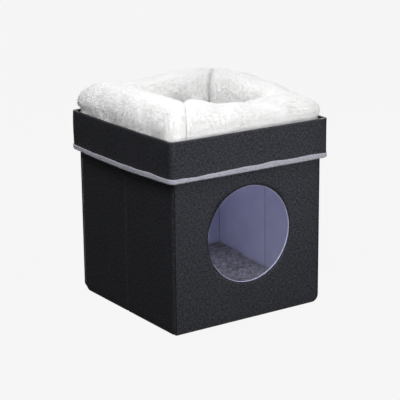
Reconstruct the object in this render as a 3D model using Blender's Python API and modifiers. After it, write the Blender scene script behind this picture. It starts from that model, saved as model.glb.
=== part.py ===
"""Folding cat cube with a lift-off tray lid and a plush bed.

Metres, +Z up. The origin is on the ground under the middle of the cube, the round
entrance faces -Y and +X is to the right of it.
"""
import math

import bmesh
import bpy
from mathutils import Vector

# Cloth, board and the air between layers
COVER = 0.0008                 # coated outer cloth
LINING = 0.0008                # smooth inner cloth
BOARD = 0.0040                 # stiffening board in the panels
TRAY_BOARD = 0.0040            # board in the tray walls
TRAY_BASE_BOARD = 0.0040       # board under the bed
GAP = 0.0003                   # air left between touching pieces

# Cube
BODY_WIDTH = 0.366             # outside the side panels
BODY_DEPTH = 0.366             # outside the front and back panels
BODY_HEIGHT = 0.357            # ground to the top of the panels
CLOTH_LIFT = 0.0005            # cover and lining end above the ground
EDGE_FOLD = 0.0010             # cover reaches past the board at a free upright edge
NEAR_FOOT = 0.0030             # bottom corner radius at the front left, and at the creases
FAR_FOOT = 0.0160              # bottom corner radius elsewhere

# Upright hinges
CORNER_INSET = 0.0015          # corner axis to the inner faces beside it
CORNER_BEAD = 0.0012           # radius of a corner's sewn bead
CREASE_SLIT = 0.0013           # crease axis to the half panel on each side
CREASE_BEAD = 0.0010           # radius of a crease's sewn bead
BEAD_END = 0.0030              # a bead stops short of the panel's ends
BEAD_SIDES = 12

# Round entrance
ENTRANCE_RADIUS = 0.101        # clear opening inside the binding
ENTRANCE_HEIGHT = 0.183        # ground to its centre
BINDING_CLOTH = 0.0008
BINDING_LIP_OUTSIDE = 0.0020   # how far it laps over the cover
BINDING_LIP_INSIDE = 0.0040    # how far it laps over the lining
ROUND_STEPS = 64

# Floor mat
MAT_PLAY = 0.0028              # mat edge to the lining
MAT_FOAM_HEIGHT = 0.033
MAT_FUR_HEIGHT = 0.0057
MAT_CORNER = 0.014             # upright corner radius

# Tray lid
SKIRT_PLAY = 0.0046            # hem binding to the cube's cover
SKIRT_DROP = 0.038             # hem below the top of the panels
RIM_RISE = 0.045               # rim above the top of the panels
TRAY_CORNER = 0.012            # outer upright corner radius
HEM_CLOTH = 0.0009             # fleece binding
HEM_HEIGHT = 0.0105            # binding's height on the outside
HEM_HEIGHT_INSIDE = 0.0080     # and on the inside
ARC_STEPS = 6
PAN_CORNER = 2 * LINING        # upright corner radius of the cloth pans

# Plush bed
BED_PLAY = 0.003               # bed to the recess lining
BED_CLOTH = 0.0008
BOLSTER_WIDTH = 0.094
BOLSTER_HEIGHT = 0.101
BOLSTER_SQUARENESS = 2.5       # exponent of its section, 2 is an ellipse
BOLSTER_SEAM_WIDTH = 0.087     # section where it is drawn in at the mitre
BOLSTER_SEAM_HEIGHT = 0.091
BOLSTER_STATIONS = (-1.0, -0.86, -0.46, 0.0, 0.46, 0.86, 1.0)
BOLSTER_SIDES = 10
MITRE_GAP = 0.0004
CUSHION_PLAY = 0.0020          # cushion to the bolsters
CUSHION_HEIGHT = 0.036
CUSHION_CELLS = 3              # cage cells along each side
CUSHION_EDGE_DROP = 0.30       # part of the crown lost at the edge
SOFT_LEVELS = 2
SHARP_EDGE = math.radians(40)

# Worked out from the sizes above
PANEL = COVER + GAP + BOARD + GAP + LINING
HALF_WIDTH = BODY_WIDTH / 2
HALF_DEPTH = BODY_DEPTH / 2
INNER_HALF_WIDTH = HALF_WIDTH - PANEL
INNER_HALF_DEPTH = HALF_DEPTH - PANEL
HINGE_X = INNER_HALF_WIDTH - CORNER_INSET
HINGE_Y = INNER_HALF_DEPTH - CORNER_INSET
SKIRT_WALL = HEM_CLOTH + GAP + LINING + GAP + TRAY_BOARD + GAP + COVER
TRAY_HALF_WIDTH = HALF_WIDTH + SKIRT_PLAY + SKIRT_WALL
TRAY_HALF_DEPTH = HALF_DEPTH + SKIRT_PLAY + SKIRT_WALL
RIM_TOP = BODY_HEIGHT + RIM_RISE
HEM_BOTTOM = BODY_HEIGHT - SKIRT_DROP

BLACK_CLOTH = ("outer_cloth", (0.028, 0.028, 0.032), 0.62)
LAVENDER_CLOTH = ("lining_cloth", (0.30, 0.30, 0.44), 0.80)
GREY_BOARD = ("board", (0.36, 0.33, 0.29), 0.90)
GREY_FLEECE = ("fleece", (0.46, 0.46, 0.52), 0.95)
GREY_FUR = ("grey_fur", (0.20, 0.19, 0.25), 0.95)
WHITE_PLUSH = ("white_plush", (0.86, 0.86, 0.84), 0.95)
SOFT_FOAM = ("foam", (0.80, 0.80, 0.76), 0.90)

for leftover in list(bpy.data.objects):
    bpy.data.objects.remove(leftover, do_unlink=True)

shapes = bpy.data.collections.new("cat_cube")
bpy.context.scene.collection.children.link(shapes)


def make_material(name, finish):
    """A Principled material of its own for one piece, in one of the finishes above."""
    finish_name, colour, roughness = finish
    material = bpy.data.materials.new(f"{name}_{finish_name}")
    material.use_nodes = True
    shader = material.node_tree.nodes["Principled BSDF"]
    shader.inputs["Base Color"].default_value = (*colour, 1.0)
    shader.inputs["Roughness"].default_value = roughness
    shader.inputs["Metallic"].default_value = 0.0
    material.diffuse_color = (*colour, 1.0)
    return material


def hang(piece, place, parent):
    """Put a piece at a place in the world and parent it to a hinge or slide empty."""
    piece.location = place
    if parent is not None:
        piece.parent = parent
        piece.location = Vector(place) - parent.matrix_world.translation
    bpy.context.view_layer.update()


def add_axis(name, place, parent=None):
    """An empty on a joint's axis: turning or sliding it carries its pieces along."""
    axis = bpy.data.objects.new(name, None)
    axis.empty_display_size = 0.02
    shapes.objects.link(axis)
    hang(axis, place, parent)
    return axis


def add_piece(name, data, finish, place=(0, 0, 0), parent=None):
    """Make the object of one sub-part from its mesh or curve."""
    piece = bpy.data.objects.new(name, data)
    data.materials.append(make_material(name, finish))
    shapes.objects.link(piece)
    hang(piece, place, parent)
    return piece


def arc(centre, radius, start, end, steps=ARC_STEPS):
    """Points on an arc in a plane, angles in degrees."""
    points = []
    for step in range(steps + 1):
        angle = math.radians(start + (end - start) * step / steps)
        points.append((centre[0] + radius * math.cos(angle), centre[1] + radius * math.sin(angle)))
    return points


def flat_curve(name, outlines, thickness):
    """A filled plane figure with thickness: the first outline is solid, the others are holes."""
    curve = bpy.data.curves.new(name, "CURVE")
    curve.dimensions = "2D"
    curve.fill_mode = "BOTH"
    curve.extrude = thickness / 2
    for outline in outlines:
        spline = curve.splines.new("POLY")
        spline.points.add(len(outline) - 1)
        for point, (x, y) in zip(spline.points, outline):
            point.co = (x, y, 0, 1)
        spline.use_cyclic_u = True
    return curve


def add_board_layer(name, finish, outlines, facing, inner, outer, parent):
    """One upright layer of a panel.

    The outline is drawn with the distance along the wall and the height. Facing 0 looks
    along -Y, 90 along +X. Inner and outer are distances from the middle of the cube.
    """
    middle = (inner + outer) / 2
    turn = math.radians(facing)
    place = (middle * math.sin(turn), -middle * math.cos(turn), 0)
    layer = add_piece(name, flat_curve(name, outlines, outer - inner), finish, place, parent)
    layer.rotation_euler = (math.pi / 2, 0, turn)
    return layer


def panel_outline(start, end, bottom, top, start_foot, end_foot):
    """A rectangle whose two bottom corners are rounded."""
    points = [(end, top), (start, top)]
    points += arc((start + start_foot, bottom + start_foot), start_foot, 180, 270)
    points += arc((end - end_foot, bottom + end_foot), end_foot, 270, 360)
    return points


def add_panel(name, facing, half, start, end, feet, parent, entrance=False):
    """Board, cover and lining of one stiff piece of the cube."""
    hole_radius = ENTRANCE_RADIUS + BINDING_CLOTH + GAP
    hole = [arc((0, ENTRANCE_HEIGHT), hole_radius, 0, 360 - 360 / ROUND_STEPS, ROUND_STEPS - 1)]
    holes = hole if entrance else []
    layers = (
        ("lining", LAVENDER_CLOTH, half - PANEL, LINING, CLOTH_LIFT, 0.0),
        ("board", GREY_BOARD, half - COVER - GAP - BOARD, BOARD, 0.0, EDGE_FOLD),
        ("cover", BLACK_CLOTH, half - COVER, COVER, CLOTH_LIFT, 0.0),
    )
    for layer, finish, inner, thickness, lift, fold in layers:
        outline = panel_outline(start + fold, end - fold, lift, BODY_HEIGHT, *feet)
        add_board_layer(f"{name}_{layer}", finish, [outline] + holes, facing,
                        inner, inner + thickness, parent)


def add_bead(name, radius, place, parent):
    """The sewn bead of a cloth hinge, an upright rod on the hinge's axis."""
    height = BODY_HEIGHT - 2 * BEAD_END
    mesh = bpy.data.meshes.new(name)
    bm = bmesh.new()
    bmesh.ops.create_cone(bm, cap_ends=True, segments=BEAD_SIDES, radius1=radius, radius2=radius,
                          depth=height)
    bm.to_mesh(mesh)
    bm.free()
    mesh.shade_smooth()
    mesh.set_sharp_from_angle(angle=SHARP_EDGE)
    return add_piece(name, mesh, BLACK_CLOTH, (*place, BODY_HEIGHT / 2), parent)


def add_entrance_binding(parent):
    """Binding of the entrance: a channel section turned round the hole's edge."""
    outer_face = HALF_DEPTH + GAP
    inner_face = INNER_HALF_DEPTH - GAP
    web = ENTRANCE_RADIUS + BINDING_CLOTH
    lip_out = web + BINDING_LIP_OUTSIDE
    lip_in = web + BINDING_LIP_INSIDE
    section = [
        (ENTRANCE_RADIUS, inner_face - BINDING_CLOTH),
        (ENTRANCE_RADIUS, outer_face + BINDING_CLOTH),
        (lip_out, outer_face + BINDING_CLOTH),
        (lip_out, outer_face),
        (web, outer_face),
        (web, inner_face),
        (lip_in, inner_face),
        (lip_in, inner_face - BINDING_CLOTH),
    ]
    mesh = bpy.data.meshes.new("entrance_binding")
    mesh.from_pydata([(radius, 0, along) for radius, along in section],
                     [(i, (i + 1) % len(section)) for i in range(len(section))], [])
    ring = add_piece("entrance_binding", mesh, GREY_FLEECE, (0, 0, ENTRANCE_HEIGHT), parent)
    ring.rotation_euler = (math.pi / 2, 0, 0)
    turn = ring.modifiers.new("Turned", "SCREW")
    turn.axis = "Z"
    turn.steps = ROUND_STEPS
    turn.render_steps = ROUND_STEPS
    turn.use_merge_vertices = True
    turn.merge_threshold = 0.00001
    return ring


def rounded_rectangle(half_x, half_y, radius):
    """Outline of a rectangle with round corners, counter-clockwise."""
    points = []
    for sign_x, sign_y, start in ((1, 1, 0), (-1, 1, 90), (-1, -1, 180), (1, -1, 270)):
        centre = (sign_x * (half_x - radius), sign_y * (half_y - radius))
        points += arc(centre, radius, start, start + 90)
    return points


def add_slab(name, finish, outline, bottom, top, parent):
    """A flat piece that lies level, from its outline seen from above."""
    curve = flat_curve(name, [outline], top - bottom)
    return add_piece(name, curve, finish, (0, 0, (bottom + top) / 2), parent)


def add_swept_frame(name, finish, section, parent):
    """A closed section carried round the tray.

    Each point of the section is its distance inside the tray's outer face and its height.
    Its corner radius shrinks with that distance, to a small round at the least.
    """
    rings = []
    mesh = bpy.data.meshes.new(name)
    bm = bmesh.new()
    for inset, height in section:
        radius = max(TRAY_CORNER - inset, GAP)
        outline = rounded_rectangle(TRAY_HALF_WIDTH - inset, TRAY_HALF_DEPTH - inset, radius)
        rings.append([bm.verts.new((x, y, height)) for x, y in outline])
    for ring, following in zip(rings, rings[1:] + rings[:1]):
        for i in range(len(ring)):
            k = (i + 1) % len(ring)
            bm.faces.new((ring[i], ring[k], following[k], following[i]))
    bmesh.ops.recalc_face_normals(bm, faces=bm.faces)
    bm.to_mesh(mesh)
    bm.free()
    return add_piece(name, mesh, finish, (0, 0, 0), parent)


def add_pan(name, finish, half_x, half_y, base, rim, parent):
    """A cloth pan of the tray: a flat sheet with a wall up, or down, to the rim height."""
    mesh = bpy.data.meshes.new(name)
    bm = bmesh.new()
    low = [bm.verts.new((x, y, base)) for x, y in rounded_rectangle(half_x, half_y, PAN_CORNER)]
    bm.faces.new(low)
    high = [bm.verts.new((v.co.x, v.co.y, rim)) for v in low]
    for i in range(len(low)):
        k = (i + 1) % len(low)
        bm.faces.new((low[i], low[k], high[k], high[i]))
    bmesh.ops.recalc_face_normals(bm, faces=bm.faces)
    bm.to_mesh(mesh)
    bm.free()
    pan = add_piece(name, mesh, finish, (0, 0, 0), parent)
    wall = pan.modifiers.new("Cloth", "SOLIDIFY")
    wall.thickness = LINING
    wall.offset = -1.0
    wall.use_even_offset = True
    return pan


def add_tray_board(name, facing, half_along, half_across, reach, parent):
    """One tray wall board, bent round the outer corners of the tray at its ends.

    Half_across is the tray's outer half size the way the board faces, half_along the other
    one. Reach is where the board stops along the wall, or None to run to its own corner.
    """
    outer = half_across - COVER - GAP
    inner = outer - TRAY_BOARD
    radius = TRAY_CORNER - COVER - GAP
    centre = (half_along - TRAY_CORNER, half_across - TRAY_CORNER)
    if reach is None:
        stop = math.degrees(math.asin((inner - centre[1]) / radius))
        ends = []
    else:
        stop = math.degrees(math.acos((reach - centre[0]) / radius))
        ends = [(reach, inner)]
    right = arc(centre, radius, 90, stop, 4) + ends
    outline = right + [(-x, y) for x, y in reversed(right)]
    bottom = HEM_BOTTOM + HEM_CLOTH + GAP
    top = RIM_TOP - COVER - GAP
    curve = flat_curve(name, [outline], top - bottom)
    board = add_piece(name, curve, GREY_BOARD, (0, 0, (bottom + top) / 2), parent)
    board.rotation_euler = (0, 0, math.radians(facing))
    return board


def add_tray(parent):
    """Tray lid: boards, cover, hem binding and its two cloth pans."""
    lining_inset = COVER + GAP + TRAY_BOARD + GAP
    recess_x = TRAY_HALF_WIDTH - lining_inset
    recess_y = TRAY_HALF_DEPTH - lining_inset
    cloth_bottom = HEM_BOTTOM + HEM_CLOTH + GAP
    underside = BODY_HEIGHT + GAP
    base_bottom = underside + LINING + GAP
    base_top = base_bottom + TRAY_BASE_BOARD
    recess_bottom = base_top + GAP
    cover_cap = RIM_TOP - COVER
    cover_lip = LINING + lining_inset

    side_reach_x = TRAY_HALF_DEPTH - COVER - GAP - TRAY_BOARD - GAP
    add_tray_board("tray_front_board", 180, TRAY_HALF_WIDTH, TRAY_HALF_DEPTH, None, parent)
    add_tray_board("tray_back_board", 0, TRAY_HALF_WIDTH, TRAY_HALF_DEPTH, None, parent)
    add_tray_board("tray_left_board", 90, TRAY_HALF_DEPTH, TRAY_HALF_WIDTH, side_reach_x, parent)
    add_tray_board("tray_right_board", -90, TRAY_HALF_DEPTH, TRAY_HALF_WIDTH, side_reach_x, parent)
    add_slab("tray_base_board", GREY_BOARD,
             rounded_rectangle(recess_x - GAP, recess_y - GAP, TRAY_BASE_BOARD),
             base_bottom, base_top, parent)

    add_swept_frame("tray_cover", BLACK_CLOTH, [
        (0, cloth_bottom), (COVER, cloth_bottom), (COVER, cover_cap),
        (cover_lip, cover_cap), (cover_lip, RIM_TOP), (0, RIM_TOP)], parent)
    add_pan("tray_recess_lining", BLACK_CLOTH, recess_x, recess_y,
            recess_bottom, cover_cap - GAP, parent)
    add_pan("tray_underside_lining", LAVENDER_CLOTH, recess_x, recess_y,
            underside + LINING, cloth_bottom, parent)

    hem_out = -GAP
    hem_in = SKIRT_WALL
    add_swept_frame("tray_hem_binding", GREY_FLEECE, [
        (hem_out - HEM_CLOTH, HEM_BOTTOM), (hem_in, HEM_BOTTOM),
        (hem_in, HEM_BOTTOM + HEM_HEIGHT_INSIDE),
        (hem_in - HEM_CLOTH, HEM_BOTTOM + HEM_HEIGHT_INSIDE),
        (hem_in - HEM_CLOTH, HEM_BOTTOM + HEM_CLOTH), (hem_out, HEM_BOTTOM + HEM_CLOTH),
        (hem_out, HEM_BOTTOM + HEM_HEIGHT), (hem_out - HEM_CLOTH, HEM_BOTTOM + HEM_HEIGHT)], parent)
    return recess_x - LINING, recess_y - LINING, recess_bottom + LINING


def smooth_reach(values):
    """Largest value that the smooth surface reaches over a closed ring of cage values.

    A cubic spline passes its cage points at the first weights, its cage edges at the second.
    """
    reach = 0
    for i in range(len(values)):
        before, here, after, beyond = (values[(i + k) % len(values)] for k in (-1, 0, 1, 2))
        reach = max(reach, (before + 4 * here + after) / 6,
                    (before + 23 * here + 23 * after + beyond) / 48)
    return reach


def bolster_section(width, height):
    """Cage of a squared-off oval, enlarged so that its smooth surface has the given size."""
    cage = []
    for side in range(BOLSTER_SIDES):
        angle = 2 * math.pi * (side + 0.5) / BOLSTER_SIDES
        power = 2 / BOLSTER_SQUARENESS
        cage.append((math.copysign(abs(math.cos(angle)) ** power, math.cos(angle)),
                     math.copysign(abs(math.sin(angle)) ** power, math.sin(angle))))
    across = width / 2 / smooth_reach([x for x, z in cage])
    upward = height / 2 / smooth_reach([z for x, z in cage])
    return [(x * across, z * upward) for x, z in cage]


def add_bolster(name, facing, half_across, half_along, base, parent):
    """One stuffed wall of the bed, drawn in where it is mitred to its neighbours.

    A station runs from mitre to mitre: its points lie at a share of their own reach along
    the wall, so both ends are cut at the bed's diagonal.
    """
    full = bolster_section(BOLSTER_WIDTH, BOLSTER_HEIGHT)
    seam = bolster_section(BOLSTER_SEAM_WIDTH, BOLSTER_SEAM_HEIGHT)
    middle = half_across - BOLSTER_WIDTH / 2
    longer = half_along - half_across
    mesh = bpy.data.meshes.new(name)
    bm = bmesh.new()
    rings = []
    for station in BOLSTER_STATIONS:
        at_seam = abs(station) == 1
        shape = seam if at_seam else full
        height = BOLSTER_SEAM_HEIGHT if at_seam else BOLSTER_HEIGHT
        ring = []
        for x, z in shape:
            distance = middle + x
            along = station * (distance + longer - MITRE_GAP)
            ring.append(bm.verts.new((along, distance, base + height / 2 + z)))
        rings.append(ring)
    for ring, following in zip(rings, rings[1:]):
        for i in range(BOLSTER_SIDES):
            k = (i + 1) % BOLSTER_SIDES
            bm.faces.new((ring[i], ring[k], following[k], following[i]))
    crease = bm.edges.layers.float.new("crease_edge")
    for ring in (rings[0], rings[-1]):
        end = bm.faces.new(ring)
        for edge in end.edges:
            edge[crease] = 1.0
    bmesh.ops.recalc_face_normals(bm, faces=bm.faces)
    bm.to_mesh(mesh)
    bm.free()
    mesh.shade_smooth()
    bolster = add_piece(name, mesh, WHITE_PLUSH, (0, 0, 0), parent)
    bolster.rotation_euler = (0, 0, math.radians(facing))
    soften(bolster)
    return bolster


def soften(piece):
    """Round a coarse cage into a stuffed form."""
    smooth = piece.modifiers.new("Stuffed", "SUBSURF")
    smooth.levels = SOFT_LEVELS
    smooth.render_levels = SOFT_LEVELS


def add_cushion(half_x, half_y, base, parent):
    """Centre cushion: crowned, with its sides drawn in between the corners."""
    mesh = bpy.data.meshes.new("bed_cushion")
    bm = bmesh.new()
    bmesh.ops.create_grid(bm, x_segments=CUSHION_CELLS, y_segments=CUSHION_CELLS, size=1)
    bottom = list(bm.verts)
    raised = bmesh.ops.extrude_face_region(bm, geom=list(bm.faces) + list(bm.edges) + bottom)
    top = [v for v in raised["geom"] if isinstance(v, bmesh.types.BMVert)]
    for vert in bottom:
        vert.co.z = base
    for vert in top:
        edge = max(abs(vert.co.x), abs(vert.co.y))
        vert.co.z = base + CUSHION_HEIGHT * (1 - CUSHION_EDGE_DROP * (edge > 0.99))
    row = [2 * i / CUSHION_CELLS - 1 for i in range(CUSHION_CELLS + 1)]
    reach = smooth_reach(row + row[::-1])
    for vert in bm.verts:
        vert.co.x *= half_x / reach
        vert.co.y *= half_y / reach
    bmesh.ops.recalc_face_normals(bm, faces=bm.faces)
    bm.to_mesh(mesh)
    bm.free()
    mesh.shade_smooth()
    cushion = add_piece("bed_cushion", mesh, WHITE_PLUSH, (0, 0, 0), parent)
    soften(cushion)
    return cushion


def add_bed(half_x, half_y, base, parent):
    """Plush bed: base cloth, four bolsters and the cushion between them."""
    bed_x = half_x - BED_PLAY
    bed_y = half_y - BED_PLAY
    cloth_bottom = base + GAP
    cloth_top = cloth_bottom + BED_CLOTH
    fill_base = cloth_top + GAP
    add_slab("bed_base_cloth", WHITE_PLUSH,
             rounded_rectangle(bed_x - TRAY_CORNER, bed_y - TRAY_CORNER, TRAY_CORNER),
             cloth_bottom, cloth_top, parent)
    add_bolster("bolster_back", 0, bed_y, bed_x, fill_base, parent)
    add_bolster("bolster_left", 90, bed_x, bed_y, fill_base, parent)
    add_bolster("bolster_front", 180, bed_y, bed_x, fill_base, parent)
    add_bolster("bolster_right", 270, bed_x, bed_y, fill_base, parent)
    add_cushion(bed_x - BOLSTER_WIDTH - CUSHION_PLAY, bed_y - BOLSTER_WIDTH - CUSHION_PLAY,
                fill_base, parent)


def add_mat(parent):
    """Loose floor mat: foam core with a fur top."""
    half_x = INNER_HALF_WIDTH - MAT_PLAY
    half_y = INNER_HALF_DEPTH - MAT_PLAY
    outline = rounded_rectangle(half_x, half_y, MAT_CORNER)
    fur_bottom = MAT_FOAM_HEIGHT + GAP
    add_slab("mat_foam", SOFT_FOAM, outline, 0, MAT_FOAM_HEIGHT, parent)
    add_slab("mat_fur", GREY_FUR, outline, fur_bottom, fur_bottom + MAT_FUR_HEIGHT, parent)


def add_cube():
    """The cube's panels, each on the empty of the hinge that carries it."""
    side_end = INNER_HALF_DEPTH - GAP
    front = add_axis("front", (0, 0, 0))
    left_front = add_axis("fold_axis", (-HINGE_X, -HINGE_Y, 0), front)
    left_back = add_axis("left_crease_axis", (-HALF_WIDTH, 0, 0), left_front)
    back = add_axis("back_left_axis", (-HINGE_X, HINGE_Y, 0), left_back)
    right_front = add_axis("front_right_axis", (HINGE_X, -HINGE_Y, 0), front)
    right_back = add_axis("back_right_axis", (HINGE_X, HINGE_Y, 0), back)

    add_panel("front", 0, HALF_DEPTH, -HALF_WIDTH, HALF_WIDTH, (NEAR_FOOT, FAR_FOOT), front, True)
    add_panel("back", 180, HALF_DEPTH, -HALF_WIDTH, HALF_WIDTH, (FAR_FOOT, FAR_FOOT), back)
    add_panel("left_front", -90, HALF_WIDTH, CREASE_SLIT, side_end, (NEAR_FOOT, NEAR_FOOT), left_front)
    add_panel("left_back", -90, HALF_WIDTH, -side_end, -CREASE_SLIT, (FAR_FOOT, NEAR_FOOT), left_back)
    add_panel("right_front", 90, HALF_WIDTH, -side_end, -CREASE_SLIT, (FAR_FOOT, NEAR_FOOT), right_front)
    add_panel("right_back", 90, HALF_WIDTH, CREASE_SLIT, side_end, (NEAR_FOOT, FAR_FOOT), right_back)

    add_bead("corner_strip_front_left", CORNER_BEAD, (-HINGE_X, -HINGE_Y), front)
    add_bead("corner_strip_front_right", CORNER_BEAD, (HINGE_X, -HINGE_Y), front)
    add_bead("corner_strip_back_left", CORNER_BEAD, (-HINGE_X, HINGE_Y), back)
    add_bead("corner_strip_back_right", CORNER_BEAD, (HINGE_X, HINGE_Y), back)
    add_bead("crease_strip_left", CREASE_BEAD, (-HALF_WIDTH, 0), left_front)
    add_bead("crease_strip_right", CREASE_BEAD, (HALF_WIDTH, 0), right_front)
    add_entrance_binding(front)
    return front


def main():
    cube = add_cube()
    add_mat(add_axis("mat_lift", (0, 0, 0), cube))
    tray = add_axis("tray_lift", (0, 0, BODY_HEIGHT), cube)
    recess_x, recess_y, recess_floor = add_tray(tray)
    add_bed(recess_x, recess_y, recess_floor, add_axis("bed_lift", (0, 0, recess_floor), tray))


main()
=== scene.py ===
import math
from types import SimpleNamespace

import bpy
import numpy as np
from mathutils import Matrix, Vector


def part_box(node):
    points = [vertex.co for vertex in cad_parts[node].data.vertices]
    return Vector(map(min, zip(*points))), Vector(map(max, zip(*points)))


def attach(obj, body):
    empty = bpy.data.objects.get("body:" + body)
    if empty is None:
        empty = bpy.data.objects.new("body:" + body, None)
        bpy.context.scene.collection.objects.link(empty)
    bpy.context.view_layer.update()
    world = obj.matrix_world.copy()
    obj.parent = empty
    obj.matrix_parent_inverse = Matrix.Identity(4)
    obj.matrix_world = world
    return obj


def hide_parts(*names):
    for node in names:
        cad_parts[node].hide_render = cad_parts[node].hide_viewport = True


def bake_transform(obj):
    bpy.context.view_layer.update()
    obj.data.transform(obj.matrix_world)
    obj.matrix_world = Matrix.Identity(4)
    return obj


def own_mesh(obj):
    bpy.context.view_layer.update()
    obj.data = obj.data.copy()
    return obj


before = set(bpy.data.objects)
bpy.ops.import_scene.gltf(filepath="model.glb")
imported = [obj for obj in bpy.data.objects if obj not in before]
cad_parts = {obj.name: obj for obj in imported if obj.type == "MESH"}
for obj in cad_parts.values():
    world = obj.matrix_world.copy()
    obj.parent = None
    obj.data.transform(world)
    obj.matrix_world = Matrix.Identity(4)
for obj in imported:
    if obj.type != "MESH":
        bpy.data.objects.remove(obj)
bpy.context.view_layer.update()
print("frame loaded:", len(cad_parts), "nodes")

bpy.context.scene.view_settings.view_transform = "Standard"


# Helpers for arrays and meshes

def unit(vectors):
    # Each vector over its own length.
    return vectors / np.maximum(np.linalg.norm(vectors, axis=-1, keepdims=True), 1e-12)


def ease(share):
    # Smooth step: 3x^2 - 2x^3 between 0 and 1.
    share = np.clip(share, 0.0, 1.0)
    return share * share * (3 - 2 * share)


waveCount, leastWave, greatestWave = 16, 0.65, 1.6


def lumps(points, size, seed):
    # Sum of cosines in random directions with wavelengths near the size, scaled to a spread of 1.
    chance = np.random.default_rng(seed)
    directions = unit(chance.normal(size=(waveCount, 3)))
    pace = 2 * math.pi / (size * chance.uniform(leastWave, greatestWave, waveCount))
    shift = chance.uniform(0, 2 * math.pi, waveCount)
    return np.cos(points @ (directions * pace[:, None]).T + shift).sum(-1) / math.sqrt(waveCount / 2)


def gridFaces(rows, columns, closeRows=False, closeColumns=True):
    # Faces between neighbours of a rows by columns grid, carried round where it is closed.
    row = np.arange(rows if closeRows else rows - 1)[:, None]
    column = np.arange(columns if closeColumns else columns - 1)[None, :]
    nextRow, nextColumn = (row + 1) % rows, (column + 1) % columns
    corners = [row * columns + column, row * columns + nextColumn,
               nextRow * columns + nextColumn, nextRow * columns + column]
    return np.stack([np.broadcast_to(c, (row.size, column.size)) for c in corners], -1).reshape(-1, 4)


def fanFaces(first, columns, pole):
    # Triangles from a ring of points, which starts at first, to one pole.
    here = first + np.arange(columns)
    beyond = first + (np.arange(columns) + 1) % columns
    return np.stack([here, beyond, np.full(columns, pole)], -1)


def triangles(faces):
    # Every face as triangles: a four-cornered one is cut along its first diagonal.
    parts = []
    for part in faces:
        parts.append(part[:, :3])
        if part.shape[1] == 4:
            parts.append(part[:, [0, 2, 3]])
    return np.concatenate(parts)


def pointNormals(points, faces):
    # Sum of the face normals round each point, weighted by area.
    corners = triangles(faces)
    across = np.cross(points[corners[:, 1]] - points[corners[:, 0]],
                      points[corners[:, 2]] - points[corners[:, 0]])
    total = np.zeros_like(points)
    for k in range(3):
        np.add.at(total, corners[:, k], across)
    return unit(total)


def outwards(points, faces, towards=None):
    # Turns faces round if they look inwards: by signed volume, or against a direction on an open sheet.
    corners = triangles(faces)
    a, b, c = (points[corners[:, k]] for k in range(3))
    if towards is None:
        measure = np.einsum("ij,ij->i", a, np.cross(b, c)).sum()
    else:
        measure = (np.cross(b - a, c - a) @ np.asarray(towards, float)).sum()
    return [part[:, ::-1] for part in faces] if measure < 0 else faces


def closedSkin(grid):
    # Rings joined to their neighbours, the first and the last one closed by a fan to its middle.
    rows, columns = grid.shape[:2]
    points = np.concatenate([grid.reshape(-1, 3), grid[[0, -1]].mean(1)])
    faces = [gridFaces(rows, columns), fanFaces(0, columns, rows * columns)[:, ::-1],
             fanFaces((rows - 1) * columns, columns, rows * columns + 1)]
    faces = outwards(points, faces)
    return points, faces, pointNormals(points, faces)


def faceNormal(points, face):
    # Cross product of the two sides that meet at a four-cornered face's first corner.
    return np.cross(points[face[1]] - points[face[0]], points[face[3]] - points[face[0]])


def runLength(path):
    # Length of a path up to each of its points, from 0.
    return np.concatenate([[0], np.cumsum(np.linalg.norm(np.diff(path, axis=0), axis=1))])


def flatPlaces(across, length):
    # Flat cloth coordinates of a grid: the way round along each row, and the way from row to row.
    return np.stack(np.broadcast_arrays(across[None, :], length[:, None]), -1)


def aroundRings(values, count):
    # One value for each ring, the same all the way round.
    return np.repeat(np.asarray(values, float)[:, None], count, 1)


def boxSpan(node, direction):
    # Least and greatest reach of a node's box along one of the axes.
    return sorted(float(np.array(corner) @ direction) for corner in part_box(node))


def buildPiece(name, points, faces, material, uv=None, fields=None, normals=None):
    # Puts arrays of points and faces into a mesh, smooth shaded, with its flat cloth coordinates.
    corners = np.concatenate([part.ravel() for part in faces]).astype(np.int32)
    counts = np.concatenate([np.full(len(part), part.shape[1]) for part in faces])
    starts = np.concatenate([[0], np.cumsum(counts)[:-1]]).astype(np.int32)
    mesh = bpy.data.meshes.new(name)
    mesh.vertices.add(len(points))
    mesh.vertices.foreach_set("co", points.astype(np.float32).ravel())
    mesh.loops.add(len(corners))
    mesh.loops.foreach_set("vertex_index", corners)
    mesh.polygons.add(len(counts))
    mesh.polygons.foreach_set("loop_start", starts)
    mesh.update(calc_edges=True)
    mesh.shade_smooth()
    if uv is not None:
        layer = mesh.uv_layers.new(name="cloth")
        layer.data.foreach_set("uv", uv[corners].astype(np.float32).ravel())
    for field, values in (fields or {}).items():
        mesh.attributes.new(field, "FLOAT", "POINT").data.foreach_set("value", values.astype(np.float32))
    if normals is not None:
        mesh.normals_split_custom_set_from_vertices(normals.astype(np.float32))
    mesh.materials.append(material)
    piece = bpy.data.objects.new(name, mesh)
    bpy.context.scene.collection.objects.link(piece)
    return piece


def thicken(piece, thickness):
    # Gives an open skin the thickness of its cloth, on the inner side.
    wall = piece.modifiers.new("Cloth", "SOLIDIFY")
    wall.thickness = thickness
    wall.offset = -1.0
    return piece


def settle(piece):
    # Makes the modified shape the piece's own mesh.
    bpy.context.view_layer.update()
    solid = bpy.data.meshes.new_from_object(piece.evaluated_get(bpy.context.evaluated_depsgraph_get()))
    piece.modifiers.clear()
    piece.data = solid
    return piece


def finishPiece(piece, body, slot, *nodes):
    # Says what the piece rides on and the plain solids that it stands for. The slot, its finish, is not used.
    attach(piece, body)
    if nodes:
        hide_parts(*nodes)
    return piece


# Helpers for shader nodes

def feed(tree, value, socket):
    # Links a socket, or sets a number or a colour.
    if isinstance(value, bpy.types.NodeSocket):
        tree.links.new(value, socket)
    else:
        socket.default_value = value


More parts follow.
